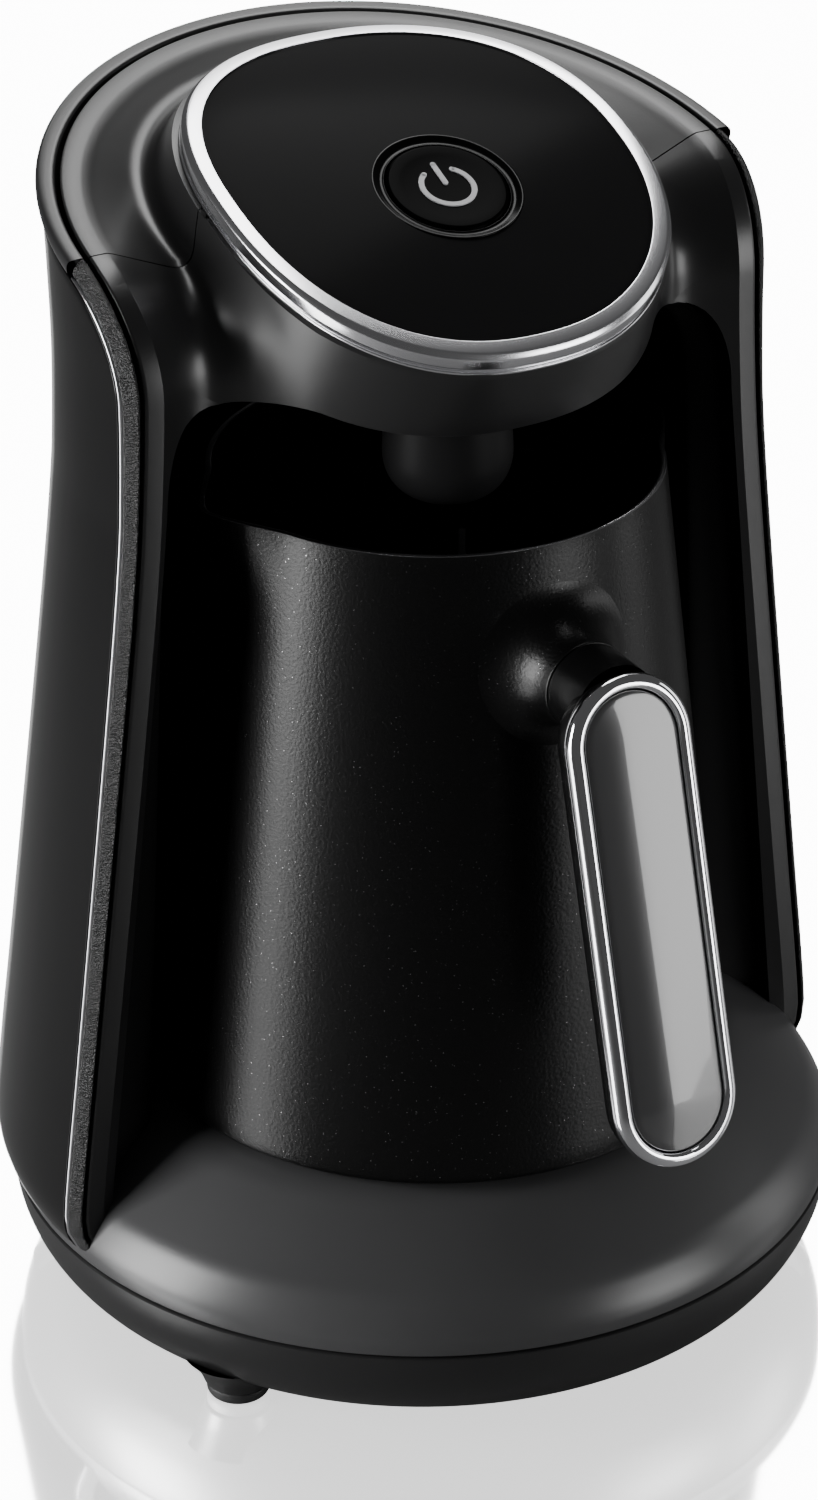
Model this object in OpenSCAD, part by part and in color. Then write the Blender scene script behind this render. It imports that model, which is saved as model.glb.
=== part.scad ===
// Electric Turkish coffee maker: round base with a hot plate, a body with two
// forward wings round a pot niche, a tilted head with one button, and a pot.
// Millimetres. +Z is up, the front (handle side) looks towards -Y, and the
// origin is in the middle of the footprint box, on the surface it stands on.

/* [Base] */
// Radius of the base at its seam
base_r = 77.5; // [76:0.5:82]
// Height of the seam between the two base shells
seam_z = 22; // [20:0.5:24]
// Height of the flat underside above the table
floor_z = 4.6; // [4:0.2:6]
// How far the flat underside stays inside the seam
floor_in = 13; // [12:0.5:15]
// How far the soft crease stays inside the seam
crease_in = 3.5; // [2.6:0.1:4.4]
// Height of the soft crease above the seam
crease_up = 9.8; // [8:0.2:12]
// How far the flat deck stays inside the seam
deck_in = 21; // [18:0.5:22]
// Height of the flat deck above the seam
deck_up = 22.2; // [20:0.1:24]
// Wall of the base shells
base_wall = 2.6; // [2:0.1:3]
// Radius of one rubber foot
foot_r = 5.8; // [5:0.1:6.6]
// Thickness of one rubber foot
foot_t = 2.6; // [2:0.1:3]
// How far the circle of the feet lies outside the flat underside's edge
foot_out = 0.5; // [-2:0.5:1]
// Angle of each foot from the front or the back
foot_angle = 60; // [45:1:64]

/* [Hot plate] */
// How far the hot plate stays inside the pot's foot
plate_in = 9; // [7:0.5:12]
// Thickness of the hot plate
plate_t = 2.5; // [2:0.1:3]
// How far the plate stands above the deck
plate_proud = 0.85; // [0.6:0.05:1.5]
// Mean radius of the ring heater
heater_r = 29; // [24:0.5:32]
// Width of the ring heater
heater_w = 6; // [5:0.5:8]

/* [Body] */
// How far the body stands outside the base at its widest place
bulge = 2.7; // [1.5:0.1:3.5]
// How far the body is drawn in at half height
mid_in = 11.5; // [10:0.1:12.5]
// Height of that place below the top edge
mid_down = 56.1; // [50:0.1:60]
// How far the body is drawn in at its waist
waist_in = 13.5; // [13:0.1:14.5]
// Height of the waist below the top edge
waist_down = 26.1; // [22:0.1:30]
// How far the body is drawn in at the front of its top edge
top_in = 13.8; // [13:0.1:14.5]
// Distance of the wing fronts in front of the base centre
wing_front = 13.4; // [11:0.2:15]
// Height of the top edge above the rim of the pot, over the base centre
top_over_rim = 45.4; // [42:0.1:48]
// How much wider the body is at the back of its top edge
flare = 1.8; // [0.5:0.1:3]
// Slope of the top edge, rising to the back
top_slope = 12.5; // [10:0.5:14]
// Radius of the wings' upper corner
corner_r = 22; // [18:0.5:24]
// Wall of the front frame
frame_wall = 3.6; // [3:0.1:4]
// Thickness of the frame's front and top
fascia_t = 2.4; // [2:0.1:3]
// Wall of the outer cover
cover_wall = 1.8; // [1.4:0.1:2.2]
// How far the cover's face stands outside the frame
cover_out = 2.1; // [2:0.1:2.6]
// Width of the flat band inside the trim
band_w = 3.6; // [3:0.1:4.4]
// Depth of the top below its band
valley_dip = 3; // [1:0.1:4]
// Width of the trim strip round the cover's edge
trim_w = 3.4; // [2.6:0.1:4]
// How far the seam of the top cover lies behind the base centre
seam_back = 4.2; // [3:0.1:9]

/* [Niche] */
// Clearance round the foot of the pot
niche_gap = 4; // [3:0.1:5]
// How much narrower the niche is at its ceiling
niche_draw = 6.5; // [5:0.5:8]
// Height of the niche's ceiling above the rim of the pot
niche_over_rim = 22.6; // [20:0.1:25]
// Space between the niche's mouth and the body's side at the ceiling
mouth_top_in = 10; // [9:0.5:11]
// Space between the niche's mouth and the base's side at the deck
mouth_foot_in = 11; // [10:0.5:13]
// Wall of the niche liner
niche_wall = 1.8; // [1.4:0.1:2]

/* [Head] */
// Tilt of the head's plate towards the front, at the button
head_tilt = 21.5; // [20:0.5:22.5]
// Radius to which the plate is arched from front to back
head_arch_r = 222; // [180:2:300]
// Distance of the button in front of the base centre
button_front = 9; // [8:0.2:10]
// Height of the plate above the rim of the pot, at the button
head_over_rim = 50.7; // [49:0.1:52]
// Half width of the head
head_half_w = 40.2; // [39.2:0.2:41]
// Reach of the head in front of the button, along the plate
head_ahead = 37; // [36:0.5:39]
// Reach of the head behind the button, along the plate
head_behind = 51.2; // [49.2:0.5:51.7]
// How far the widest place of the head lies behind the button
head_wide_y = 7.4; // [5:0.1:9]
// Fullness of the head's outline, 2 being an ellipse
head_fullness = 2.25; // [2:0.05:2.4]
// How far the foot of the head's wall is drawn back
head_draw = 0.8; // [0:0.1:2]
// Depth of the head's wall
head_depth = 21.5; // [20.5:0.5:22.5]
// Wall of the head
head_wall = 2.2; // [1.8:0.1:2.6]
// Width of the bright ring round the plate
ring_w = 3.4; // [3:0.1:4.4]
// Depth of the bright ring
ring_t = 4; // [3:0.1:4.5]
// Radius of the dished ring round the button
dish_r = 13.2; // [12.8:0.2:15]
// Radius of the button
button_r = 10.6; // [9.5:0.1:10.8]
// Travel of the button
button_travel = 1.2; // [0.8:0.1:1.4]
// Radius of the foam sensor's nose
sensor_r = 10.4; // [9:0.2:10.8]
// Height of the foam sensor's tip above the rim of the pot
sensor_over_rim = 1.2; // [1:0.1:3]
// Distance of the foam sensor in front of the button
sensor_ahead = 12; // [8:0.5:12.5]
// Distance of the foam sensor to the left of the middle
sensor_left = 7; // [0:0.5:8]

/* [Pot] */
// How far the pot's foot stays inside the base's seam
pot_in = 23.5; // [22:0.1:26]
// How much narrower the pot is at its rim
rim_in = 13.6; // [10:0.1:15]
// Height of the rim above the hot plate
pot_h = 117.4; // [112:0.5:118]
// Wall of the pot
pot_wall = 1; // [0.8:0.1:1.4]
// Distance of the pot's axis in front of the base centre
pot_front = 4.9; // [4:0.1:5.4]
// How far each pouring lip reaches beyond the rim
lip_reach = 5.5; // [4:0.5:6.5]
// Depth of each pouring lip below the rim
lip_depth = 20; // [16:1:24]

/* [Handle] */
// Length of the grip
grip_len = 87; // [82:0.5:90]
// Width of the grip
grip_w = 23.8; // [22:0.2:25]
// Lean of the grip, its foot standing out, in degrees
grip_lean = 16.2; // [14:0.1:17]
// Distance of the grip's face in front of the pot's foot, at mid length
grip_ahead = 22.1; // [20:0.1:25]
// Height of the middle of the grip below the rim of the pot
grip_down = 56.1; // [53:0.1:59]
// Depth of the bright frame round the grip
bezel_t = 3; // [2.4:0.1:4]
// Width of the bright frame's lip
bezel_lip = 2.4; // [2:0.1:3]
// Depth of the grip's back behind the bright frame
grip_back_t = 6.6; // [5:0.1:8]
// Height of the stem that carries the grip below the rim of the pot
stem_down = 21.7; // [19:0.1:25]
// Radius of the stem
stem_r = 8; // [7:0.1:9]
// Radius of the fillet where the stem meets the pot
stem_fillet = 9; // [7:0.5:10]

/* [Hidden] */
$fa = 4;
$fs = 0.8;
fit_gap = 0.3;        // clearance between neighbouring pieces
slide_gap = 0.25;     // clearance under the pot
eps = 0.01;
far = 150;            // longer than any cut
body_top = 240;       // above everything

floor_r = base_r - floor_in;
crease_r = base_r - crease_in;
crease_z = seam_z + crease_up;
deck_r = base_r - deck_in;
deck_z = seam_z + deck_up;
pot_r = base_r - pot_in;
rim_r = pot_r - rim_in;
plate_r = pot_r - plate_in;
plate_z = deck_z + plate_proud;
plate_foot = plate_z - plate_t;
seal_t = 0.8;
ledge_z = plate_foot - seal_t;
ledge_t = 1.6;
hole_r = plate_r + 1.6;           // the deck's hole for plate and seal
ledge_r = plate_r - 3;
base_inner = base_wall + 1.4;     // the base wall is thicker behind the cover
board_z = floor_z + base_wall + 5;
board_t = 1.6;
board_w = 64;
board_d = 46;
board_y = 0;
relay = [18, 15, 14];
supply = [26, 20, 11];
screw_r = 1.4;
screw_head_r = 2.8;
screw_head_t = 1.8;
screw_circle_r = floor_r - 4.5;
screw_angle = 18;
post_r = 3.6;
post_foot = floor_z + base_wall + 2.2;
foot_circle_r = floor_r + foot_out;
foot_peg_r = 2.4;
gland_r = 5.6;
gland_neck_r = 4.6;
gland_z = (floor_z + seam_z) / 2 + 1;
gland_seat = base_r - 12.5;          // where its inner collar lies
gland_len = 12.4;

pot_z = plate_z + slide_gap;
rim_z = pot_z + pot_h;
pot_cone = (pot_r - rim_r) / pot_h;
niche_r = pot_r + niche_gap;
niche_z = rim_z + niche_over_rim;
niche_top_r = niche_r - niche_draw;

cover_foot_z = seam_z + 2.6;
bulge_z = seam_z + 10;            // height of the cover's widest place
bulge_r = base_r + bulge;
top_z = rim_z + top_over_rim;
mid_r = base_r - mid_in;
mid_z = top_z - mid_down;
waist_r = base_r - waist_in;
waist_z = top_z - waist_down;
top_r = base_r - top_in;
back_z = top_z + top_r * tan(top_slope);
cover_profile = [[base_r, 0], [base_r, cover_foot_z],
    [(base_r + bulge_r) / 2 + 0.7, (cover_foot_z + bulge_z) / 2], [bulge_r, bulge_z], [mid_r, mid_z],
    [(mid_r + waist_r) / 2 - 0.2, (mid_z + waist_z) / 2], [waist_r, waist_z], [top_r, top_z],
    [top_r + flare * 0.4, (top_z + back_z) / 2], [top_r + flare, back_z], [top_r + flare, body_top]];
corner_y = corner_r - wing_front;
corner_z = top_z + corner_y * tan(top_slope) - corner_r / cos(top_slope);
corner_steps = 13;
mouth_top_half = top_r - mouth_top_in;
mouth_foot_half = base_r - mouth_foot_in;

disc_t = 2;
mark_turn = 36;
mark_down = 38.5;
mark_z = rim_z - mark_down;

head_z = rim_z + head_over_rim;
button_top = -0.5;                // all in the head's own tilted frame
dish_sag = pow(dish_r + 1.4, 2) / 2 / head_arch_r;   // how far the arch falls under the dish's foot
bezel_foot = -4.4 - dish_sag;
flange_top = bezel_foot - fit_gap;
flange_foot = flange_top - 1.4;
plunger_foot = flange_foot - 0.5;
switch_top = plunger_foot - button_travel - fit_gap;
switch_h = 3;
head_board_top = switch_top - switch_h;
head_board_t = 1.6;
guide_top = flange_foot - button_travel - fit_gap;
head_floor_t = 1.6;
head_floor = -head_depth + 0.6;
head_board_w = 44;
head_board_d = 52;
head_screw_in = 4;                // from the board's edges
head_board_y = 2;                 // the board's middle behind the button

symbol_r = 4.6;
symbol_w = 0.9;
loom_w = 10;
loom_t = 1.2;
loom_up = 13.4;
loom_back = niche_r - pot_front + niche_wall + 0.8;

inlay_t = 1.6;
grip_front = pot_front + pot_r + grip_ahead;
grip_z = rim_z - grip_down;
stem_z = rim_z - stem_down;
grip_t = bezel_t + grip_back_t;
bezel_in = 2 * bezel_lip;
screw_thread_r = 1.9;
boss_len = 8.5;
stem_wall_y = -pot_front - (pot_r - (stem_z - pot_z) * pot_cone);
grip_back_y = -grip_front + (stem_z - grip_z) * tan(grip_lean) + grip_t / cos(grip_lean);
stem_reach = -grip_back_y + stem_wall_y;          // from the pot's wall to the grip's back

// The footprint box runs from the grip's foot to the widest place of the cover
box_front = -grip_front - sin(grip_lean) * grip_len / 2;
box_back = bulge_r;
shift_y = -(box_front + box_back) / 2;

function fuller(c) = sign(c) * pow(abs(c), 2 / head_fullness);
function slope_z_at(r) = deck_z - (r - deck_r) * (deck_z - crease_z) / (crease_r - deck_r);
function pot_r_at(z) = pot_r - (z - pot_z) * pot_cone;
function niche_r_at(z) = niche_r + (z - deck_z) * (niche_top_r - niche_r) / (niche_z - deck_z);

// ---------- shared shapes ----------

// Everything is placed from the base centre, then moved to the footprint's middle
module placed() translate([0, shift_y, 0]) children();

// A flat drawing in the side view (y, z), made as wide as the part
module side_cut(w = 2 * far) rotate([90, 0, 90]) linear_extrude(w, center = true) children();

// The head's own frame: the button is at the middle and z = 0 touches the arched plate there
module in_head() translate([0, -button_front, head_z]) rotate([head_tilt, 0, 0]) children();

// The grip's own frame: x across, y along the grip, z out of its face
module in_grip() translate([0, -grip_front, grip_z]) rotate([90 - grip_lean, 0, 0]) children();

// Solid of the outer cover's surface, grown by a distance
module cover_solid(grow = 0)
    rotate_extrude()
        polygon(concat([[0, 0]], [for (p = cover_profile) [p[0] + grow, p[1]]], [[0, body_top]]));

// Solid of the front frame's surface, which lies under the cover's, grown by a distance
module frame_solid(grow = 0) cover_solid(grow - cover_out);

// Side view of wings and top edge, drawn in by a distance
module side_outline(inset = 0)
    polygon(concat([[inset - wing_front, 0]],
        [for (i = [0 : corner_steps]) let (a = i * (90 - top_slope) / corner_steps)
            [corner_y, corner_z] + (corner_r - inset) * [-cos(a), sin(a)]],
        [[corner_y, corner_z] + (corner_r - inset) * [-sin(top_slope), cos(top_slope)]
            + far * [cos(top_slope), sin(top_slope)], [far, 0]]));

// Outside of the upper base shell, grown by a distance
module base_solid(grow = 0)
    rotate_extrude()
        polygon([[0, seam_z], [base_r + grow, seam_z], [base_r - 0.3 + grow, seam_z + 5],
            [crease_r + grow, crease_z + grow], [deck_r + grow / 2, deck_z + grow], [0, deck_z + grow]]);

// Egg-shaped outline of the head in its own frame, grown by a distance
module head_outline(grow = 0)
    polygon([for (a = [0 : 5 : 355])
        let (reach = sin(a) > 0 ? head_behind - head_wide_y : head_ahead + head_wide_y)
        [(head_half_w + grow) * fuller(cos(a)), head_wide_y + (reach + grow) * fuller(sin(a))]]);

// All that lies under the head's arched top, lowered by a distance
module under_arch(down = 0)
    translate([0, 0, -head_arch_r]) rotate([0, 90, 0])
        cylinder(r = head_arch_r - down, h = 2 * far, center = true, $fn = 360);

// Upright walls on a drawing in the head's frame, between two depths under its arched top
module arched_slab(high, low)
    intersection() {
        translate([0, 0, -head_depth]) linear_extrude(head_depth + 2) children();
        difference() {
            under_arch(high);
            under_arch(low);
        }
    }

// Head tub between two heights, its foot drawn back, grown by a distance
module head_tub(low, high, grow = 0)
    hull()
        for (z = [low, high])
            translate([0, -z * head_draw / head_depth, z]) linear_extrude(eps) head_outline(grow);

// Room for the head in the pieces it stands in
module head_space(grow = fit_gap)
    in_head() head_tub(-head_depth - grow, 5, grow);

// Straight-sided stadium, lying along y
module stadium(w, len, t) {
    run = (len - w) / 2;
    linear_extrude(t) {
        translate([0, run]) circle(w / 2);
        translate([0, -run]) circle(w / 2);
        translate([-w / 2, -run]) square([w, 2 * run]);
    }
}

// The hollow that the top has inside its flat band
module valley()
    difference() {
        frame_solid(-band_w);
        side_cut() side_outline(valley_dip);
    }

// The space of the pot niche, grown by a distance
module niche_space(grow = 0) {
    h = niche_z - deck_z;
    translate([0, -pot_front, deck_z])
        cylinder(r1 = niche_r + grow, r2 = niche_top_r + grow, h = h + grow);
    hull() {
        translate([0, 0, deck_z]) linear_extrude(eps) mouth(niche_r + grow, mouth_foot_half + grow);
        translate([0, 0, niche_z + grow]) linear_extrude(eps)
            mouth(niche_top_r + grow, mouth_top_half + grow);
    }
}

// Plan of the niche in front of the pot's axis, widening to a half width at the fascia
module mouth(back_half, front_half) {
    reach = wing_front + 8 - pot_front;
    wide = back_half + (front_half - back_half) * reach / (wing_front - fascia_t - pot_front);
    polygon([[-back_half, -pot_front], [back_half, -pot_front],
        [wide, -pot_front - reach], [-wide, -pot_front - reach]]);
}

module ring(r_out, r_in, h)
    difference() {
        cylinder(r = r_out, h = h);
        translate([0, 0, -1]) cylinder(r = r_in, h = h + 2);
    }

module at_feet()
    for (side = [-1, 1], end = [-1, 1])
        translate(foot_circle_r * [side * sin(foot_angle), end * cos(foot_angle), 0]) children();

module at_base_screws()
    for (side = [-1, 1], end = [-1, 1])
        translate(screw_circle_r * [side * cos(screw_angle), end * sin(screw_angle), 0]) children();

// ---------- base ----------

module bowl(grow = 0)
    rotate_extrude()
        polygon(concat([[0, floor_z - grow]],
            [for (a = [0 : 15 : 90]) [floor_r + grow + (base_r - floor_r) * sin(a),
                floor_z - grow + (seam_z - floor_z + grow) * (1 - cos(a))]],
            [[0, seam_z]]));

module base_lower_shell() placed() color("dimgray")
    difference() {
        union() {
            difference() {
                bowl();
                intersection() {
                    bowl(-base_wall);
                    cylinder(r = far, h = seam_z + 1);
                }
                translate([0, 0, seam_z - 0.5]) cylinder(r = base_r - base_wall, h = 1);
            }
            at_feet() translate([0, 0, foot_t])
                cylinder(r1 = foot_r + 0.4, r2 = foot_r + 2.4, h = floor_z - foot_t + 4.4);
            at_base_screws() translate([0, 0, floor_z]) cylinder(r = screw_head_r + 1.6, h = base_wall + 2);
            for (x = [-1, 1], y = [-1, 1])
                translate([x * (board_w / 2 - 4), board_y + y * (board_d / 2 - 4), floor_z])
                    cylinder(r = 3, h = board_z - floor_z);
        }
        at_feet() cylinder(r = foot_peg_r + 0.1, h = foot_t + 3);
        at_base_screws() {
            translate([0, 0, -1]) cylinder(r = screw_r + 0.3, h = floor_z + base_wall + 4);
            translate([0, 0, -1]) cylinder(r = screw_head_r + 0.3, h = floor_z + screw_head_t + 1.4);
        }
        gland_axis() cylinder(r = gland_neck_r + 0.1, h = far);
    }

module base_upper_shell() placed() color("gray")
    difference() {
        union() {
            difference() {
                base_solid();
                rotate_extrude()
                    polygon([[0, 0], [base_r - base_inner, 0], [base_r - base_inner, seam_z + 5],
                        [crease_r - base_inner, crease_z - 1], [deck_r - 1, deck_z - base_wall],
                        [0, deck_z - base_wall]]);
            }
            translate([0, 0, ledge_z - ledge_t])
                ring(hole_r + base_wall, ledge_r, deck_z - ledge_z + ledge_t - eps);
            at_base_screws() translate([0, 0, post_foot])
                cylinder(r = post_r, h = slope_z_at(screw_circle_r + post_r) - 0.5 - post_foot);
        }
        translate([0, 0, ledge_z]) cylinder(r = hole_r, h = far);
        translate([0, 0, seam_z]) cylinder(r = ledge_r, h = far);
        translate([-loom_w / 2 - 1, loom_back - 1, seam_z]) cube([loom_w + 2, loom_t + 2, far]);
        at_base_screws() translate([0, 0, floor_z]) cylinder(r = screw_r + 0.1, h = 16);
        // rebate that the outer cover's foot comes down into
        difference() {
            intersection() {
                cover_solid(far);
                translate([-far, -wing_front - fit_gap, cover_foot_z - fit_gap]) cube([2 * far, far, far]);
            }
            cover_solid(-cover_out - fit_gap);
        }
    }

module rubber_feet() placed() color("black")
    at_feet() {
        cylinder(r = foot_r, h = foot_t);
        cylinder(r = foot_peg_r, h = foot_t + 2.4);
    }

module base_screws() placed() color("silver")
    at_base_screws() translate([0, 0, floor_z + 0.4]) screw(screw_r, screw_head_r, screw_head_t, 14);

// A pan-head screw standing on its head, with a cross slot
module screw(r, head_r, head_t, len)
    difference() {
        union() {
            cylinder(r = head_r, h = head_t);
            cylinder(r = r, h = len);
        }
        for (turn = [0, 90]) rotate(turn)
            translate([-head_r * 0.6, -0.35, -1]) cube([head_r * 1.2, 0.7, 1 + head_t / 2]);
    }

module heating_plate() placed() color("lightgray")
    translate([0, 0, plate_foot]) cylinder(r = plate_r, h = plate_t);

module plate_seal() placed() color("black")
    translate([0, 0, ledge_z]) {
        ring(hole_r - 0.1, ledge_r + 0.3, seal_t);
        ring(hole_r - 0.1, plate_r + 0.2, deck_z - ledge_z + 0.3);
    }

module heating_element() placed() color("silver")
    difference() {
        translate([0, 0, plate_foot - 5]) ring(heater_r + heater_w / 2, heater_r - heater_w / 2, 5);
        translate([-3, -far, 0]) cube([6, far, far]);
    }

module heat_shield() placed() color("silver") {
    z = plate_foot - 9.5;
    translate([0, 0, z]) ring(ledge_r + 1, 8, 0.8);
    translate([0, 0, z]) ring(ledge_r + 1, ledge_r + 0.2, ledge_z - ledge_t - z);
}

module temperature_sensor() placed() color("goldenrod") {
    translate([0, 0, plate_foot - 7]) cylinder(r = 4.5, h = 7);
    translate([0, 0, plate_foot - 12]) cylinder(r = 3, h = 5.01);
}

module thermal_fuse() placed() color("white")
    translate([-6, 15, plate_foot - 2.6]) {
        rotate([0, 90, 0]) cylinder(r = 2.2, h = 12);
        translate([1, -2.2, 0.1]) cube([10, 4.4, 2.5]);
    }

module power_board() placed() color("darkgreen")
    translate([-board_w / 2, board_y - board_d / 2, board_z]) cube([board_w, board_d, board_t]);

module relay_block() placed() color("royalblue")
    translate([-board_w / 2 + 5, board_y - relay[1] / 2, board_z + board_t]) cube(relay);

module supply_block() placed() color("gold")
    translate([board_w / 2 - supply[0] - 5, board_y - supply[1] / 2, board_z + board_t]) cube(supply);

module gland_axis() translate([0, gland_seat, gland_z]) rotate([-90, 0, 0]) children();

module cord_gland() placed() color("black")
    gland_axis() difference() {
        union() {
            cylinder(r = gland_r, h = 2);
            cylinder(r = gland_neck_r, h = gland_len);
        }
        translate([0, 0, -1]) cylinder(r = 3.3, h = 20);
    }

// ---------- body ----------

module outer_cover() placed() color("#303032")
    difference() {
        intersection() {
            cover_solid();
            side_cut() side_outline(trim_w + 0.2);
            translate([-far, -far, cover_foot_z]) cube([2 * far, 2 * far, body_top]);
        }
        cover_solid(-cover_wall);
    }

module edge_trim() placed() color("#1c1c1e")
    difference() {
        intersection() {
            cover_solid(-0.2);
            side_cut() side_outline();
            translate([-far, -far, cover_foot_z]) cube([2 * far, 2 * far, body_top]);
        }
        frame_solid(0.2);
        side_cut() side_outline(trim_w);
        base_solid(fit_gap);
    }

module front_frame() placed() color("#4a4a4c")
    difference() {
        intersection() {
            frame_solid();
            side_cut() side_outline();
            translate([-far, -far, cover_foot_z]) cube([2 * far, far + seam_back, body_top]);
        }
        intersection() {
            frame_solid(-frame_wall);
            side_cut() side_outline(valley_dip + fascia_t);
        }
        valley();
        niche_space();
        liner_block(0.2);
        base_solid(0.2);
        head_space();
    }

// Solid that the niche liner fills, grown by a distance
module liner_block(grow = 0)
    intersection() {
        niche_space(niche_wall + grow);
        translate([-far, fascia_t - wing_front - grow, 0]) cube([2 * far, 2 * far, body_top]);
    }

module top_cover() placed() color("#4a4a4c")
    difference() {
        intersection() {
            frame_solid();
            side_cut() side_outline();
            translate([-far, seam_back + 0.2, corner_z]) cube([2 * far, far, far]);
        }
        intersection() {
            frame_solid(-frame_wall);
            side_cut() side_outline(valley_dip + fascia_t);
        }
        valley();
        head_space();
        liner_block(0.2);
    }

module niche_liner() placed() color("#0c0c0d")
    difference() {
        liner_block();
        niche_space();
        base_solid(0.2);
        head_space();
    }

module wiring_loom() placed() color("white") {
    ahead_y = seam_back + 20;
    low = board_z + board_t;
    high = niche_z + niche_wall + 3;
    start_y = board_y + board_d / 2 - 6;
    translate([-loom_w / 2, start_y, low]) cube([loom_w, loom_back - start_y + loom_t, loom_t]);
    translate([-loom_w / 2, loom_back, low]) cube([loom_w, loom_t, high - low]);
    translate([-loom_w / 2, ahead_y, high]) cube([loom_w, loom_back - ahead_y + loom_t, loom_t]);
    translate([-loom_w / 2, ahead_y, high]) cube([loom_w, loom_t, loom_up]);
}

// ---------- head ----------

module head_housing() placed() color("#4a4a4c")
    in_head() difference() {
        intersection() {
            head_tub(-head_depth, 0, -0.3);
            under_arch(ring_t + 0.1);
        }
        head_tub(-head_depth - 1, 1, -head_wall - 0.3);
    }

module head_floor_cover() placed() color("#161617")
    in_head() difference() {
        head_tub(head_floor, head_floor + head_floor_t, -head_wall - 0.5);
        at_head_screws() translate([0, 0, -far]) cylinder(r = screw_r + 0.1, h = far);
    }

module chrome_ring() placed() color("whitesmoke")
    in_head() arched_slab(0, ring_t)
        difference() {
            head_outline();
            head_outline(-ring_w);
        }

module top_panel() placed() color("#0a0a0b")
    in_head() arched_slab(0.4, ring_t)
        difference() {
            head_outline(-ring_w - 0.1);
            circle(dish_r + 0.1);
        }

module button_dish() placed() color("#101011")
    in_head() rotate_extrude()
        polygon([[button_r + 0.3, bezel_foot], [dish_r + 1.4, bezel_foot],
            [dish_r + 1.4, -ring_t - 0.1 - dish_sag], [dish_r, -ring_t - 0.1 - dish_sag],
            [dish_r, -0.5], [dish_r - 0.4, -0.5], [dish_r - 1.4, -1.4],
            [button_r + 0.9, -1.4], [button_r + 0.3, -0.9]]);

module power_button() placed() color("#0e0e0f")
    in_head() {
        translate([0, 0, flange_foot]) cylinder(r = button_r, h = button_top - flange_foot);
        translate([0, 0, flange_foot]) cylinder(r = button_r + 1.3, h = flange_top - flange_foot);
        translate([0, 0, plunger_foot]) cylinder(r = 2, h = 1);
    }

module power_symbol() placed() color("white")
    in_head() translate([0, 0, button_top]) {
        linear_extrude(0.12) difference() {
            circle(symbol_r + symbol_w / 2);
            circle(symbol_r - symbol_w / 2);
            translate([-1.6, 0]) square([3.2, symbol_r + 2]);
        }
        translate([-symbol_w / 2, 0.6, 0]) cube([symbol_w, symbol_r + 0.6, 0.12]);
    }

module light_guide() placed() color("white")
    in_head() translate([0, 0, head_board_top]) ring(8.6, 7.2, guide_top - head_board_top);

module tact_switch() placed() color("#222222")
    in_head() {
        translate([-3, -3, head_board_top]) cube([6, 6, switch_h - 0.8]);
        translate([0, 0, head_board_top + switch_h - 0.81]) cylinder(r = 1.7, h = 0.81);
    }

module control_board() placed() color("darkgreen")
    in_head() translate([0, 0, head_board_top - head_board_t]) linear_extrude(head_board_t)
        difference() {
            translate([0, head_board_y]) square([head_board_w, head_board_d], center = true);
            at_head_screws() circle(screw_r + 0.3);
        }

module at_head_screws()
    for (x = [-1, 1], y = [-1, 1])
        translate([x * (head_board_w / 2 - head_screw_in),
            head_board_y + y * (head_board_d / 2 - head_screw_in)]) children();

module buzzer() placed() color("black")
    in_head() translate([12, 14, head_board_top]) cylinder(r = 4.5, h = 3);

// The nose hangs from the head's floor, its tip just over the pot's rim
module foam_sensor() placed() color("#1a1a1b") {
    tip = rim_z + sensor_over_rim;
    round_r = sensor_r * 0.8;
    difference() {
        translate([-sensor_left, -button_front - sensor_ahead, 0]) rotate_extrude()
            polygon(concat([[0, tip]],
                [for (a = [15 : 15 : 90]) [(sensor_r - 1) * sin(a), tip + round_r * (1 - cos(a))]],
                [[sensor_r, head_z], [0, head_z]]));
        in_head() translate([-far, -far, head_floor]) cube([2 * far, 2 * far, far]);
    }
}

module head_screws() placed() color("silver")
    in_head() at_head_screws() {
        translate([0, 0, head_board_top]) cylinder(r = screw_head_r, h = screw_head_t);
        translate([0, 0, head_floor + head_floor_t])
            cylinder(r = screw_r, h = head_board_top - head_floor - head_floor_t + 0.1);
    }

// ---------- pot ----------

module pot_cone_solid(grow = 0, up = 0)
    translate([0, -pot_front, pot_z]) rotate_extrude()
        polygon([[0, -grow], [pot_r - 1.5 + grow, -grow], [pot_r + grow, 1.5],
            [rim_r + grow, pot_h], [rim_r + grow - up * pot_cone, pot_h + up], [0, pot_h + up]]);

// One pouring lip, drawn from the wall out to its point
module lip(grow = 0) {
    lip_top = rim_z + max(0, -grow) * 2;
    translate([0, -pot_front, 0])
        hull() {
            translate([pot_r_at(rim_z - lip_depth) - 9, 0, rim_z - lip_depth + grow])
                cylinder(r = 8.6 + grow, h = eps, $fn = 32);
            translate([rim_r + lip_reach - 8, 0, lip_top]) cylinder(r = 8 + grow, h = eps, $fn = 32);
            translate([rim_r - 14, 0, lip_top]) cylinder(r = 16 + grow, h = eps, $fn = 32);
        }
}

module pot_body() placed() color("#151516")
    difference() {
        union() {
            pot_cone_solid();
            for (side = [0, 1]) mirror([side, 0, 0]) lip();
        }
        translate([0, 0, pot_wall]) pot_cone_solid(-pot_wall, 4);
        for (side = [0, 1]) mirror([side, 0, 0]) lip(-pot_wall);
        translate([0, -pot_front, pot_z - 1]) cylinder(r = pot_r - 5, h = 1 + disc_t - pot_wall + eps);
        translate([-far, -far, rim_z]) cube([2 * far, 2 * far, 20]);
    }

module pot_base_disc() placed() color("silver")
    translate([0, -pot_front, pot_z]) cylinder(r = pot_r - 5.2, h = disc_t - pot_wall - 0.1);

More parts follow.
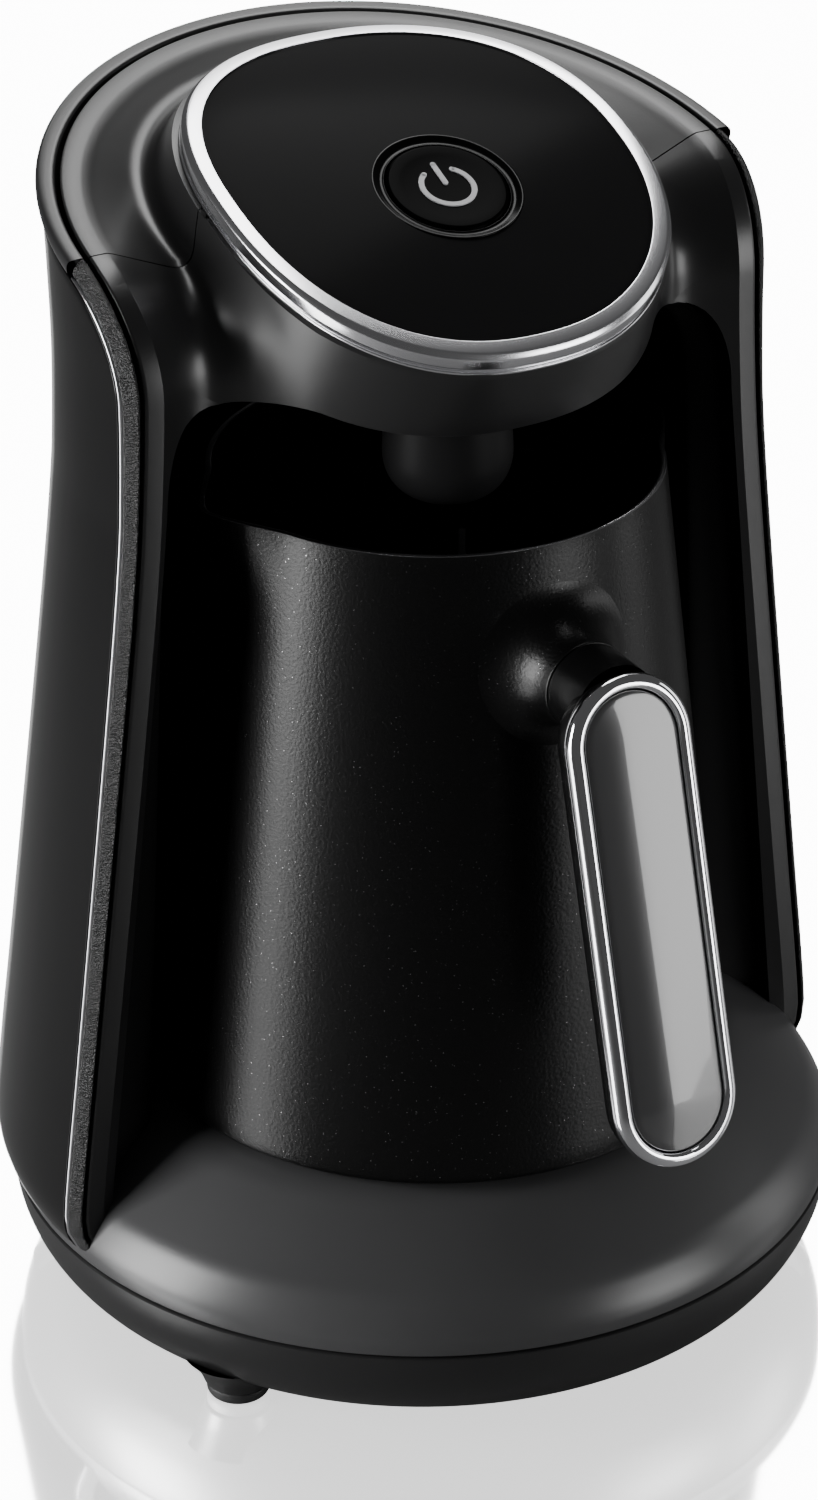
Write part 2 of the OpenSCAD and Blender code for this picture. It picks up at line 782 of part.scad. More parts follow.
// Small upright rib that marks the fill level on the far inner wall
module level_mark() placed() color("gray")
    intersection() {
        translate([0, -pot_front, 0]) rotate(-mark_turn)
            translate([-0.8, pot_r_at(mark_z) - pot_wall - 3, mark_z - 4]) cube([1.6, 6, 8]);
        difference() {
            translate([0, 0, pot_wall]) pot_cone_solid(-pot_wall - 0.02, 4);
            translate([0, 0, pot_wall]) pot_cone_solid(-pot_wall - 0.9, 4);
        }
    }

module stem_axis() translate([0, stem_wall_y, stem_z]) rotate([90, 0, 0]) children();

// Flared metal boss between the pot's wall and the plastic stem
module handle_boss() placed() color("#151516")
    difference() {
        stem_axis() rotate_extrude()
            polygon(concat([[0, -6]], [[stem_r + stem_fillet, -6]],
                [for (a = [0 : 15 : 90])
                    [stem_r + stem_fillet * (1 - sin(a)), stem_fillet * (1 - cos(a)) - 0.6]],
                [[stem_r, boss_len], [0, boss_len]]));
        pot_cone_solid();
        stem_axis() translate([0, 0, 0.8]) cylinder(r = screw_thread_r + 0.1, h = far);
    }
module handle_grip() placed() color("#111112")
    difference() {
        union() {
            in_grip() translate([0, 0, -grip_t]) stadium(grip_w - 0.6, grip_len - 0.6, grip_back_t);
            in_grip() translate([0, 0, -bezel_t - eps])
                stadium(grip_w - bezel_in - 0.4, grip_len - bezel_in - 0.4, bezel_t - inlay_t - 0.1);
            difference() {
                stem_axis() translate([0, 0, boss_len + 0.1]) cylinder(r = stem_r - 0.1, h = -stem_wall_y);
                in_grip() translate([-far, -far, -bezel_t - 0.5]) cube([2 * far, 2 * far, far]);
            }
        }
        stem_axis() cylinder(r = screw_thread_r + 0.2, h = far);
        stem_axis() translate([0, 0, stem_reach + 4]) cylinder(r = 3.8, h = far);
    }

module handle_bezel() placed() color("whitesmoke")
    in_grip() difference() {
        translate([0, 0, -bezel_t]) stadium(grip_w, grip_len, bezel_t);
        translate([0, 0, -bezel_t - 1]) stadium(grip_w - bezel_in, grip_len - bezel_in, bezel_t + 2);
    }

module handle_inlay() placed() color("#6e6e70")
    in_grip() translate([0, 0, -inlay_t - 0.1])
        stadium(grip_w - bezel_in - 0.2, grip_len - bezel_in - 0.2, inlay_t - 0.3);

module handle_screw() placed() color("silver")
    stem_axis() {
        translate([0, 0, 1]) cylinder(r = screw_thread_r, h = stem_reach + 3.1);
        translate([0, 0, stem_reach + 4]) cylinder(r = 3.5, h = 1.6);
    }

base_lower_shell();
base_upper_shell();
rubber_feet();
base_screws();
heating_plate();
plate_seal();
heating_element();
heat_shield();
temperature_sensor();
thermal_fuse();
power_board();
relay_block();
supply_block();
cord_gland();
outer_cover();
edge_trim();
front_frame();
top_cover();
niche_liner();
wiring_loom();
head_housing();
head_floor_cover();
chrome_ring();
top_panel();
button_dish();
power_button();
power_symbol();
light_guide();
tact_switch();
control_board();
buzzer();
foam_sensor();
head_screws();
pot_body();
pot_base_disc();
level_mark();
handle_boss();
handle_grip();
handle_bezel();
handle_inlay();
handle_screw();
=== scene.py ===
from math import asin, atan2, copysign, cos, hypot, pi, radians, remainder, sin, sqrt, tan
import bpy
import bmesh
from mathutils import Matrix, Vector


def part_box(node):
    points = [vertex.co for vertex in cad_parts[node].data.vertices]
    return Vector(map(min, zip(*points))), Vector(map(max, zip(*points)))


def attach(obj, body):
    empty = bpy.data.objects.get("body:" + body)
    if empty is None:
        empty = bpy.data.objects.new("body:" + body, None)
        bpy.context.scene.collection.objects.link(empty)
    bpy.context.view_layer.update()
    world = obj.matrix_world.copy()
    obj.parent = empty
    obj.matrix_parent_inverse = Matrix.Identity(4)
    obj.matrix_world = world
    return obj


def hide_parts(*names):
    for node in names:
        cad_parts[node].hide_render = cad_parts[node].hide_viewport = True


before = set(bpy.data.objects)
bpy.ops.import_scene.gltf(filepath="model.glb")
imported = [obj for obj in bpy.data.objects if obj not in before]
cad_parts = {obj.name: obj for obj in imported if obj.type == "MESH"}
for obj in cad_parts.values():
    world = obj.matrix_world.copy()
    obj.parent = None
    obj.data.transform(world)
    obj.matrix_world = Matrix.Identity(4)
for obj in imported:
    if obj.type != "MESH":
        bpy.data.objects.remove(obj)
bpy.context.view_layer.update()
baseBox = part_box("base_lower_shell")
centreY = (baseBox[0][1] + baseBox[1][1]) / 2   # the base's middle, which every size below starts from
print("frame loaded")

# sizes that several pieces share, in millimetres from the base's middle
body = dict(
    profile=[(24.4, 77.9), (26, 79.0), (28.5, 79.85), (32, 80.15), (45, 78.8), (60, 76.95), (90, 73.35),
             (120, 69.8), (140, 67.5), (152, 66.2), (165, 65.05), (182, 64.1), (195, 63.8), (208, 63.8),
             (215, 64.4), (222.5, 65.4), (230, 66.2)],       # (height, radius) of the edge
    swell=[(165, 0), (187, 0.5), (206, 1.15), (224, 1.5)],   # (height, how far cover and trim stand out)
    foot=24.6, front=13.4, topZ=208.1, slope=radians(12.5), corner=22, seamY=4.2, seamHalf=0.14,
    frameIn=2.1, band=3.6, trim=3.4,                 # inset of the frame, width of its band and of the trim
    valley=7.6, valleyRun=19,                        # depth and width of the hollow behind the band
    neckSoft=4.2, cheekSoft=15, cheekRun=(-6, 16))   # fillet of head and frame, behind and beside the bay
niche = dict(ceiling=183.6, footZ=44.2, backR=58, backTopR=51.5, axisY=-4.9, topHalf=54.6, footHalf=69.3,
             cornerW=11, cornerH=17)
head = dict(y=-9, z=213.4, tilt=radians(21.5), half=40.2, ahead=37, behind=51.2, wide=7.4, full=2.25,
            depth=21.5, arch=222, flare=3.2, shift=3.9, crown=1.4)
pot = dict(y=-4.9, z=45.3, footR=54, rimR=40.4, rimZ=162.7, wall=1.0, lipReach=5.9, lipDepth=24, lipHalf=0.38)
grip = dict(y=-81, z=106.6, lean=radians(16.2), length=87, width=23.8, stemZ=141, stemR=7.9, bossLength=8.9)

slopeTan, slopeCos, slopeSin = tan(body["slope"]), cos(body["slope"]), sin(body["slope"])
bendAngle = pi / 2 - body["slope"]     # turn of the side outline's rounded corner
headCos, headSin = cos(head["tilt"]), sin(head["tilt"])
cornerY = body["corner"] - body["front"]
cornerZ = body["topZ"] + cornerY * slopeTan - body["corner"] / slopeCos
riseLength = cornerZ - body["foot"]        # upright stretch of the side outline
bendLength = body["corner"] * bendAngle    # its rounded corner


# smooth curve through a list of (at, value)
def through(points, at):
    last = len(points) - 1
    k = 0
    while k < last - 1 and at > points[k + 1][0]:
        k += 1
    p = [points[max(0, min(last, k + n))] for n in (-1, 0, 1, 2)]
    span = p[2][0] - p[1][0]
    f = min(1, max(0, (at - p[1][0]) / span))
    slopeA = (p[2][1] - p[0][1]) / (p[2][0] - p[0][0]) * span
    slopeB = (p[3][1] - p[1][1]) / (p[3][0] - p[1][0]) * span
    a, b = p[1][1], p[2][1]
    return ((2 * f**3 - 3 * f * f + 1) * a + (f**3 - 2 * f * f + f) * slopeA
            + (3 * f * f - 2 * f**3) * b + (f**3 - f * f) * slopeB)


def ease(value, low=0.0, high=1.0):
    f = min(1, max(0, (value - low) / (high - low)))
    return f * f * (3 - 2 * f)


# path through (a, b, radius) corners, each rounded by its radius
def rounded(corners, steps=4):
    path = []
    for k, (a, b, radius) in enumerate(corners):
        here = Vector((a, b))
        if k in (0, len(corners) - 1) or radius <= 0:
            path.append((a, b))
            continue
        before, after = Vector(corners[k - 1][:2]), Vector(corners[k + 1][:2])
        inA = here + (before - here).normalized() * min(radius, (before - here).length * 0.49)
        outB = here + (after - here).normalized() * min(radius, (after - here).length * 0.49)
        for n in range(steps + 1):
            f = n / steps
            point = inA * (1 - f) ** 2 + here * 2 * f * (1 - f) + outB * f * f
            path.append((point.x, point.y))
    return path


# grid of quads whose points go where place(column, row) says
def mappedGrid(columns, rows, place):
    bm = bmesh.new()
    bmesh.ops.create_grid(bm, x_segments=columns, y_segments=rows, size=0.5)
    for v in bm.verts:
        v.co = Vector(place(round((v.co.x + 0.5) * columns), round((v.co.y + 0.5) * rows)))
    bmesh.ops.remove_doubles(bm, verts=bm.verts, dist=0.002)
    return bm


# grid of as many columns as count, whose rows are the points (a, b) of a path: place(column, a, b)
def sweep(count, path, place):
    return mappedGrid(count, len(path) - 1, lambda k, n: place(k, *path[n]))


# solid of revolution about z from (radius, height) points
def spun(profile, steps=128):
    bm = bmesh.new()
    line = [bm.verts.new((r, 0, z)) for r, z in profile]
    edges = [bm.edges.new(pair) for pair in zip(line, line[1:])]
    bmesh.ops.spin(bm, geom=line + edges, cent=(0, 0, 0), axis=(0, 0, 1), angle=2 * pi, steps=steps,
                   use_merge=True)
    bmesh.ops.remove_doubles(bm, verts=bm.verts, dist=0.002)
    return bm


# several bmeshes in one
def joined(parts):
    whole = bmesh.new()
    for part in parts:
        held = bpy.data.meshes.new("held")
        part.to_mesh(held)
        part.free()
        whole.from_mesh(held)
        bpy.data.meshes.remove(held)
    return whole


def mirrored(bm):
    bmesh.ops.mirror(bm, geom=bm.verts[:] + bm.edges[:] + bm.faces[:], matrix=Matrix(), merge_dist=0.004,
                     axis='X')
    return bm


def newObject(name, data):
    made = bpy.data.objects.new(name, data)
    bpy.context.scene.collection.objects.link(made)
    return made


# makes a bmesh in millimetres a piece that rides on bodyName, stands for nodes and takes the given material
def finished(name, bm, material, bodyName, nodes=(), sharp=50, wall=0, edge=0, facing=0):
    bmesh.ops.remove_doubles(bm, verts=bm.verts, dist=0.003)
    bmesh.ops.dissolve_degenerate(bm, edges=bm.edges, dist=0.001)
    bmesh.ops.recalc_face_normals(bm, faces=bm.faces)
    if facing:     # an open sheet faces away from the middle (1) or towards it (-1)
        middle = sum((v.co for v in bm.verts), Vector()) / len(bm.verts)
        outward = sum((f.calc_center_median() - middle).dot(f.normal) * f.calc_area() for f in bm.faces)
        if outward * facing < 0:
            bmesh.ops.reverse_faces(bm, faces=bm.faces)
    toModel = Matrix.Translation((0, centreY, 0)) @ Matrix.Scale(0.001, 4)
    bmesh.ops.transform(bm, matrix=toModel, verts=bm.verts)
    for f in bm.faces:
        f.smooth = True
    for e in bm.edges:
        e.smooth = not (e.is_manifold and e.calc_face_angle(0) > radians(sharp))
    mesh = bpy.data.meshes.new(name)
    bm.to_mesh(mesh)
    bm.free()
    piece = newObject(name, mesh)
    mesh.materials.append(material)
    if wall:
        thick = piece.modifiers.new("wall", 'SOLIDIFY')
        thick.thickness, thick.offset, thick.use_even_offset = wall * 0.001, -1, False
    if edge:
        soft = piece.modifiers.new("edge", 'BEVEL')
        soft.width, soft.segments = edge * 0.001, 2
        soft.limit_method, soft.angle_limit = 'ANGLE', radians(50)
    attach(piece, bodyName)
    if nodes:
        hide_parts(*nodes)
    return piece


def nodeGroup(name, inputs, outputs, build):
    group = bpy.data.node_groups.new(name, 'ShaderNodeTree')
    for label, value in inputs.items():
        socket = group.interface.new_socket(label, in_out='INPUT', socket_type='NodeSocketFloat')
        socket.default_value = value
    for label in outputs:
        group.interface.new_socket(label, in_out='OUTPUT', socket_type='NodeSocketFloat')
    entry = group.nodes.new('NodeGroupInput')
    leave = group.nodes.new('NodeGroupOutput')
    build(group, entry.outputs, leave.inputs)
    return group


# sets a node's inputs: a socket is linked, anything else stays on the input
def wired(tree, node, inputs):
    for key, value in inputs.items():
        if isinstance(value, bpy.types.NodeSocket):
            tree.links.new(value, node.inputs[key])
        else:
            node.inputs[key].default_value = value
    return node


def newNode(tree, kind, inputs={}, **settings):
    node = tree.nodes.new('ShaderNode' + kind)
    for key, value in settings.items():
        setattr(node, key, value)
    return wired(tree, node, inputs)


def mathNode(tree, operation, *values):
    return newNode(tree, 'Math', dict(enumerate(values)), operation=operation).outputs[0]


def texture(tree, kind, scale, detail=2, **settings):
    place = newNode(tree, 'TexCoord').outputs["Object"]
    return newNode(tree, 'Tex' + kind, {"Scale": scale, "Detail": detail, "Vector": place}, **settings)


def buildGrain(tree, given, out):
    fine, broad = texture(tree, 'Noise', given["Scale"], 3), texture(tree, 'Noise', 18)
    uneven = mathNode(tree, 'SUBTRACT', broad.outputs["Fac"], 0.5)
    worn = mathNode(tree, 'MULTIPLY_ADD', uneven, given["Smudge"], given["Roughness"])
    tree.links.new(fine.outputs["Fac"], out["Height"])
    tree.links.new(worn, out["Roughness"])


def buildFlecks(tree, given, out):
    cells = texture(tree, 'Voronoi', given["Scale"])
    tint = newNode(tree, 'SeparateColor', {0: cells.outputs["Color"]})
    bright = mathNode(tree, 'GREATER_THAN', tint.outputs[0], given["Rarity"])
    small = mathNode(tree, 'LESS_THAN', cells.outputs["Distance"], 0.38)
    tree.links.new(mathNode(tree, 'MULTIPLY', bright, small), out["Mask"])
    tree.links.new(texture(tree, 'Noise', given["Scale"]).outputs["Fac"], out["Height"])


grainGroup = nodeGroup("plasticGrain", {"Scale": 2500, "Roughness": 0.4, "Smudge": 0.1},
                       ["Height", "Roughness"], buildGrain)
fleckGroup = nodeGroup("metalFlecks", {"Scale": 2200, "Rarity": 0.8}, ["Mask", "Height"], buildFlecks)


def newMaterial(name):
    material = bpy.data.materials.new(name)
    material.use_nodes = True
    return material, material.node_tree, material.node_tree.nodes["Principled BSDF"]


def addBump(tree, shader, height, distance, strength=1, invert=False):
    bump = newNode(tree, 'Bump', {"Strength": strength, "Distance": distance, "Height": height}, invert=invert)
    wired(tree, shader, {"Normal": bump.outputs["Normal"]})


# moulded plastic, rubber or plain metal with a fine grain (depth in mm) and faint smudges
def plastic(name, tone, roughness, grain=0.02, scale=2500, smudge=0.1, coat=0, metallic=0, coatRoughness=0.05,
            specular=0.5):
    material, tree, shader = newMaterial(name)
    settings = {"Scale": scale, "Roughness": roughness, "Smudge": smudge}
    group = newNode(tree, 'Group', settings, node_tree=grainGroup)
    tint = tone if isinstance(tone, tuple) else (tone, tone, tone * 1.03)
    mottle = newNode(tree, 'ValToRGB', {"Fac": texture(tree, 'Noise', 60, 3).outputs["Fac"]})
    for stop, share in zip(mottle.color_ramp.elements, (0.93, 1.07)):
        stop.color = (*[min(1, c * share) for c in tint], 1)
    wired(tree, shader, {"Base Color": mottle.outputs["Color"], "Roughness": group.outputs["Roughness"],
                         "Metallic": metallic, "Coat Weight": coat, "Coat Roughness": coatRoughness,
                         "Specular IOR Level": specular})
    if grain:
        addBump(tree, shader, group.outputs["Height"], grain * 0.001)
    return material


# fine pebbled grain of the soft trim strip
def pebbledTrim(name, tone):
    material = plastic(name, tone, 0.24, grain=0)
    tree = material.node_tree
    pebbles = texture(tree, 'Voronoi', 3200, feature='SMOOTH_F1')
    addBump(tree, tree.nodes["Principled BSDF"], pebbles.outputs["Distance"], 0.0003, invert=True)
    return material


# dark non-stick coating with fine metal flecks
def fleckedCoat(name, tone, fleck, roughness, scale, rarity, bumpDepth, specular):
    material, tree, shader = newMaterial(name)
    group = newNode(tree, 'Group', {"Scale": scale, "Rarity": rarity}, node_tree=fleckGroup)
    mask = group.outputs["Mask"]
    colours = {"Factor": mask, "A": (tone, tone, tone * 1.04, 1), "B": (fleck, fleck, fleck, 1)}
    mix = newNode(tree, 'Mix', colours, data_type='RGBA')
    wired(tree, shader, {"Base Color": mix.outputs["Result"], "Specular IOR Level": specular,
                         "Metallic": mathNode(tree, 'MULTIPLY', mask, 0.8),
                         "Roughness": mathNode(tree, 'MULTIPLY_ADD', mask, -0.12, roughness)})
    addBump(tree, shader, group.outputs["Height"], bumpDepth * 0.001)
    return material


# metal with fine turned rings about the pot's upright axis
def turnedMetal(name, tone, rings=900, roughness=0.3):
    material = plastic(name, tone, roughness, grain=0, metallic=1, smudge=0.12)
    tree = material.node_tree
    axis = {"Vector": newNode(tree, 'TexCoord').outputs["Object"],
            "Location": (0, -(centreY + pot["y"] * 0.001), 0)}
    place = newNode(tree, 'Mapping', axis).outputs["Vector"]
    wave = newNode(tree, 'TexWave', {"Scale": rings, "Vector": place}, wave_type='RINGS', rings_direction='Z')
    addBump(tree, tree.nodes["Principled BSDF"], wave.outputs["Fac"], 0.00002, strength=0.6)
    return material


satinShell = plastic("satinShell", 0.012, 0.31, 0.008, 3000)
satinBase = plastic("satinBase", 0.05, 0.33, 0.012, 3000, specular=0.55)
# the base's satin plastic made much darker for the lower shell and its foot stands: painted shade under the
# base
shadedBaseSatin = plastic("shadedBaseSatin", 0.014, 0.36, 0.012, 3000, specular=0.45)
smoothCover = plastic("smoothCover", 0.005, 0.06, 0.002, 3500, smudge=0.05, specular=0.25)
softTrim = pebbledTrim("softTrim", 0.005)
smoothTrim = plastic("smoothTrim", 0.02, 0.3, 0.004, 3000)
trimGloss = plastic("trimGloss", 0.7, 0.16, 0, smudge=0.02, metallic=1)
glossBlack = plastic("glossBlack", 0.012, 0.2, 0, smudge=0.03, specular=0.008)
buttonBlack = plastic("buttonBlack", 0.0014, 0.16, 0, smudge=0.03, specular=0.008)
dishBlack = plastic("dishBlack", 0.0018, 0.2, 0, smudge=0.03, specular=0.12)
noseBlack = plastic("noseBlack", 0.010, 0.5, 0.003, smudge=0.05, specular=0.06)
nicheBlack = plastic("nicheBlack", 0.012, 0.4, 0.004, smudge=0.06, specular=0.1)
potCoat = fleckedCoat("potCoat", 0.0015, 0.34, 0.32, 1700, 0.80, 0.05, 0.24)
potInside = fleckedCoat("potInside", 0.002, 0.06, 0.33, 1900, 0.92, 0.012, 0.1)
potEdge = plastic("potEdge", 0.7, 0.2, 0, smudge=0.05, metallic=1)
chromeBright = plastic("chromeBright", 0.88, 0.055, 0, smudge=0.02, metallic=1)
ringSide = plastic("ringSide", 0.8, 0.17, 0, smudge=0.02, metallic=1)
ringSatin = plastic("ringSatin", 0.85, 0.2, 0, smudge=0.03, metallic=1)
gripBlack = plastic("gripBlack", 0.003, 0.26, 0.006, 3000, specular=0.2)
inlayGrey = plastic("inlayGrey", 0.05, 0.16, 0, smudge=0.03, coat=1, coatRoughness=0.03)
symbolGrey = plastic("symbolGrey", 0.55, 0.35, 0.004)
footRubber = plastic("footRubber", 0.02, 0.62, 0.02, 1500)
plateSteel = turnedMetal("plateSteel", 0.42)
screwSteel = plastic("screwSteel", 0.5, 0.32, 0.004, metallic=1)
heaterMetal = plastic("heaterMetal", 0.6, 0.45, 0.02, 900, metallic=1)
boardGreen = plastic("boardGreen", (0.02, 0.13, 0.05), 0.3, 0.006)
brassCan = plastic("brassCan", (0.6, 0.42, 0.16), 0.3, 0.004, metallic=1)
relayBlue = plastic("relayBlue", (0.03, 0.10, 0.32), 0.35, 0.006)
coilYellow = plastic("coilYellow", (0.6, 0.42, 0.05), 0.4, 0.006)
partBlack = plastic("partBlack", 0.03, 0.45, 0.01)
wireWhite = plastic("wireWhite", 0.6, 0.5, 0.02, 1200)
guideWhite = plastic("guideWhite", 0.8, 0.3, 0.004)
print("materials made")


baseShape = dict(seamR=77.5, seamZ=22, gap=0.35, floorR=64.5, floorZ=4.6, creaseR=74, creaseZ=31.8,
                 deckR=56.2, deckZ=44.2, holeR=46.6)
footShape = dict(
    circle=65, turn=radians(60),
    stand=[(0, 2.62, 0), (6.1, 2.62, 0.5), (6.4, 3.4, 0.6), (7.4, 6, 2), (10.2, 9.4, 0)],
    pad=[(0, 0.02, 0), (4.9, 0.02, 0.3), (5.4, 0.25, 0.4), (5.8, 0.9, 0.5), (5.8, 2.3, 0.3), (5.2, 2.62, 0)])


def makeBase():
    b = baseShape
    seamR, seamZ, floorR, floorZ, deckZ = b["seamR"], b["seamZ"], b["floorR"], b["floorZ"], b["deckZ"]
    upper = rounded([(seamR - 3, seamZ + b["gap"], 0), (seamR - 0.1, seamZ + b["gap"], 0.35),
                     (seamR + 0.05, seamZ + 4.2, 4), (b["creaseR"], b["creaseZ"], 2.2),
                     (b["deckR"], deckZ, 5), (b["holeR"], deckZ, 0.5), (b["holeR"], deckZ - 3, 0)], 6)
    finished("baseUpper", spun(upper, 192), satinBase, "machine", ["base_upper_shell"],
             sharp=60, wall=1.6)
    lower = [(0, floorZ), (30, floorZ)]
    for n in range(19):      # the quarter bowl up to the seam
        a = radians(n * 5)
        bowlZ = floorZ + (seamZ - b["gap"] - floorZ) * (1 - cos(a))
        lower.append((floorR + (seamR - floorR) * sin(a), bowlZ))
    lower += [(seamR - 0.4, seamZ - 0.05), (seamR - 3, seamZ - 0.05)]
    shells, pads = [spun(lower, 192)], []
    circle, turn = footShape["circle"], footShape["turn"]
    for sideX in (-1, 1):
        for endY in (-1, 1):
            place = Vector((sideX * circle * sin(turn), endY * circle * cos(turn), 0))
            for made, shape, steps in ((shells, "stand", 4), (pads, "pad", 3)):
                solid = spun(rounded(footShape[shape], steps), 48)
                bmesh.ops.translate(solid, verts=solid.verts, vec=place)
                made.append(solid)
    finished("baseLower", joined(shells), shadedBaseSatin, "machine", ["base_lower_shell"])
    finished("feetPads", joined(pads), footRubber, "machine", ["rubber_feet"])


makeBase()
print("base made")


# radius of the body's edge at a height
def coverR(z):
    return through(body["profile"], z)


def outerR(z, grow):
    swell = through(body["swell"], z) if z > body["swell"][0][0] else 0
    return coverR(z) + grow + swell * min(1, max(0, 1 + grow / body["frameIn"]))


# point (y, z) of the side outline at length s from the wing's foot, drawn in by inset
def outline(s, inset):
    if s < riseLength:
        return inset - body["front"], body["foot"] + s
    a = min((s - riseLength) / body["corner"], bendAngle)
    r = body["corner"] - inset
    y, z = cornerY - r * cos(a), cornerZ + r * sin(a)
    run = max(0, s - riseLength - bendLength)
    return y + run * slopeCos, z + run * slopeSin


edgeSteps = dict(rise=44, bend=26, top=64)
edgeCount = sum(edgeSteps.values())


# point on the right-hand edge path: k counts from the wing's foot to the middle of the back
def edgePoint(k, grow, inset):
    rise, bend, top = edgeSteps["rise"], edgeSteps["bend"], edgeSteps["top"]
    if k <= rise + bend:
        s = riseLength * k / rise if k <= rise else riseLength + bendLength * (k - rise) / bend
        y, z = outline(s, inset)
        r = outerR(z, grow)
        return sqrt(max(0, r * r - y * y)), y, z
    y0, z = outline(riseLength + bendLength, inset)
    f = (k - rise - bend) / top
    for _ in range(4):
        r = outerR(z, grow)
        turn = asin(y0 / r)
        y = r * sin(turn + f * (pi / 2 - turn))
        z = body["topZ"] + y * slopeTan - inset / slopeCos
    return (r * cos(turn + f * (pi / 2 - turn)) if k < edgeCount else 0), y, z


# strip whose section (grow, inset) follows the whole edge, both sides
def edgeSweep(path):
    return mirrored(sweep(edgeCount, path, edgePoint))


# parts of a swept piece in front of the seam (side 1) and behind it (side -1), a hair apart
def cutAtSeam(sheet, sides):
    held = bpy.data.meshes.new("sheet")
    sheet.to_mesh(held)
    sheet.free()
    parts = []
    for side in sides:
        part = bmesh.new()
        part.from_mesh(held)
        seam = (0, body["seamY"] - side * body["seamHalf"], 0)
        bmesh.ops.bisect_plane(part, geom=part.verts[:] + part.edges[:] + part.faces[:], dist=0.0001,
                               plane_co=seam, plane_no=(0, side, 0), clear_outer=True)
        parts.append(part)
    bpy.data.meshes.remove(held)
    return parts


# sections (grow, inset) from the groove beside the frame to the outer cover's edge
def makeTrim():
    f, w = -body["frameIn"], body["trim"]
    soft = rounded([(f + 0.35, 4.2, 0), (f + 0.3, 0.35, 0.35), (f + 0.75, 0.0, 0.5), (-0.45, 1.3, 1.1),
                    (-0.15, w - 0.9, 0.5), (-0.5, w - 0.75, 0.1), (-0.9, w - 0.7, 0)], 5)
    smooth = rounded([(f + 0.35, 4.2, 0), (f + 0.32, 0.3, 0.3), (f + 0.6, 0.05, 0.25), (-0.1, 0.1, 0.9),
                      (0.6, 0.9, 0.8), (0.5, w - 1.0, 0.8), (-0.1, w - 0.7, 0.3), (-0.9, w - 0.7, 0)], 5)
    bead = dict(out=-0.35, radius=0.34, inset=0.36, root=-0.9)
    polished = [(bead["root"], w - 2 * bead["inset"])]
    for n in range(9):
        a = pi * n / 8
        polished.append((bead["out"] + bead["radius"] * sin(a),
                         w - bead["inset"] - bead["radius"] * cos(a)))
    polished.append((bead["root"], w + 0.02))
    front, = cutAtSeam(edgeSweep(soft), [1])
    rear, = cutAtSeam(edgeSweep(smooth), [-1])
    line, = cutAtSeam(edgeSweep(polished), [1])
    finished("edgeTrim", front, softTrim, "machine", ["edge_trim"], sharp=75)
    finished("edgeTrimTop", rear, smoothTrim, "machine", (), sharp=75)
    finished("trimLine", line, trimGloss, "machine", (), sharp=75)


# fall of the hollow over its width: at once along the front, and over a soft lip along the top
fall = dict(turn=8, power=1.3, lip=0.12, lipSlope=0.55, lipBend=2.5, lipDepth=0.102, slope=1.0205)


# how far the top and front sink below their flat band
def sheetDepth(x, y, z):
    inside = coverR(z) - body["frameIn"] - hypot(x, y) - body["band"]
    if inside <= 0:
        return 0
    f = min(1, inside / body["valleyRun"])
    rolled, straight = ease(y, -fall["turn"], fall["turn"]), 1 - (1 - f) ** fall["power"]
    if f < fall["lip"]:
        curved = fall["lipSlope"] * f + fall["lipBend"] * f * f
    else:
        curved = fall["lipDepth"] + (f - fall["lip"]) * fall["slope"]
    return body["valley"] * (straight + (curved - straight) * rolled)


# half width of the bay's mouth
def mouthX(z):
    f = (z - niche["footZ"]) / (niche["ceiling"] - niche["footZ"])
    return niche["footHalf"] + (niche["topHalf"] - niche["footHalf"]) * f


# drop of the head's arched top along its length
def archAt(v):
    return sqrt(head["arch"] ** 2 - v * v) - head["arch"]


# point given in the head's own tilted frame
def fromHead(x, v, w):
    return Vector((x, head["y"] + v * headCos - w * headSin, head["z"] + v * headSin + w * headCos))


# sine or cosine, filled out towards a squarer round
def fuller(c):
    return copysign(abs(c) ** (2 / head["full"]), c)


# how far the head reaches to the rear (way above 0) or to the front of its widest place
def headReach(way):
    return head["behind"] - head["wide"] if way > 0 else head["ahead"] + head["wide"]


# point on the head's egg-shaped outline, down below its arched top and deep (0 to 1) on the way to its foot
def headPoint(a, grow, down=0, deep=0):
    flare = head["flare"] * deep
    reach = headReach(sin(a))
    x = (head["half"] + grow + flare) * fuller(cos(a))
    v = head["wide"] + head["shift"] * deep + (reach + grow + flare) * fuller(sin(a))
    return fromHead(x, v, (archAt(v) - down) * (1 - deep) - head["depth"] * deep)


# how far a point lies outside the head's wall
def wallGap(p):
    dy, dz = p.y - head["y"], p.z - head["z"]
    v, w = dy * headCos + dz * headSin, dz * headCos - dy * headSin
    top = archAt(v)
    deep = min(1.3, max(0, (top - w) / (top + head["depth"])))
    flare, off = head["flare"] * deep, v - head["wide"] - head["shift"] * deep
    reach = headReach(off) + flare
    power = head["full"]
    full = (abs(p.x / (head["half"] + flare)) ** power + abs(off / reach) ** power) ** (1 / power)
    return hypot(p.x, off) * (1 - 1 / max(0.05, full))


# how far a point of the side view lies outside the body's outline
def outsideBy(y, z):
    dy, dz = y - cornerY, z - cornerZ
    if dz <= 0:
        return -y - body["front"]
    if atan2(dz, -dy) > bendAngle:
        return (z - body["topZ"] - y * slopeTan) * slopeCos
    return hypot(dy, dz) - body["corner"]


# length along the side outline nearest to a point
def lengthAt(y, z):
    dy, dz = y - cornerY, z - cornerZ
    if dz <= 0:
        return z - body["foot"]
    turn = atan2(dz, -dy)
    if turn <= bendAngle:
        return riseLength + turn * body["corner"]
    start = outline(riseLength + bendLength, 0)
    return riseLength + bendLength + (y - start[0]) * slopeCos + (z - start[1]) * slopeSin


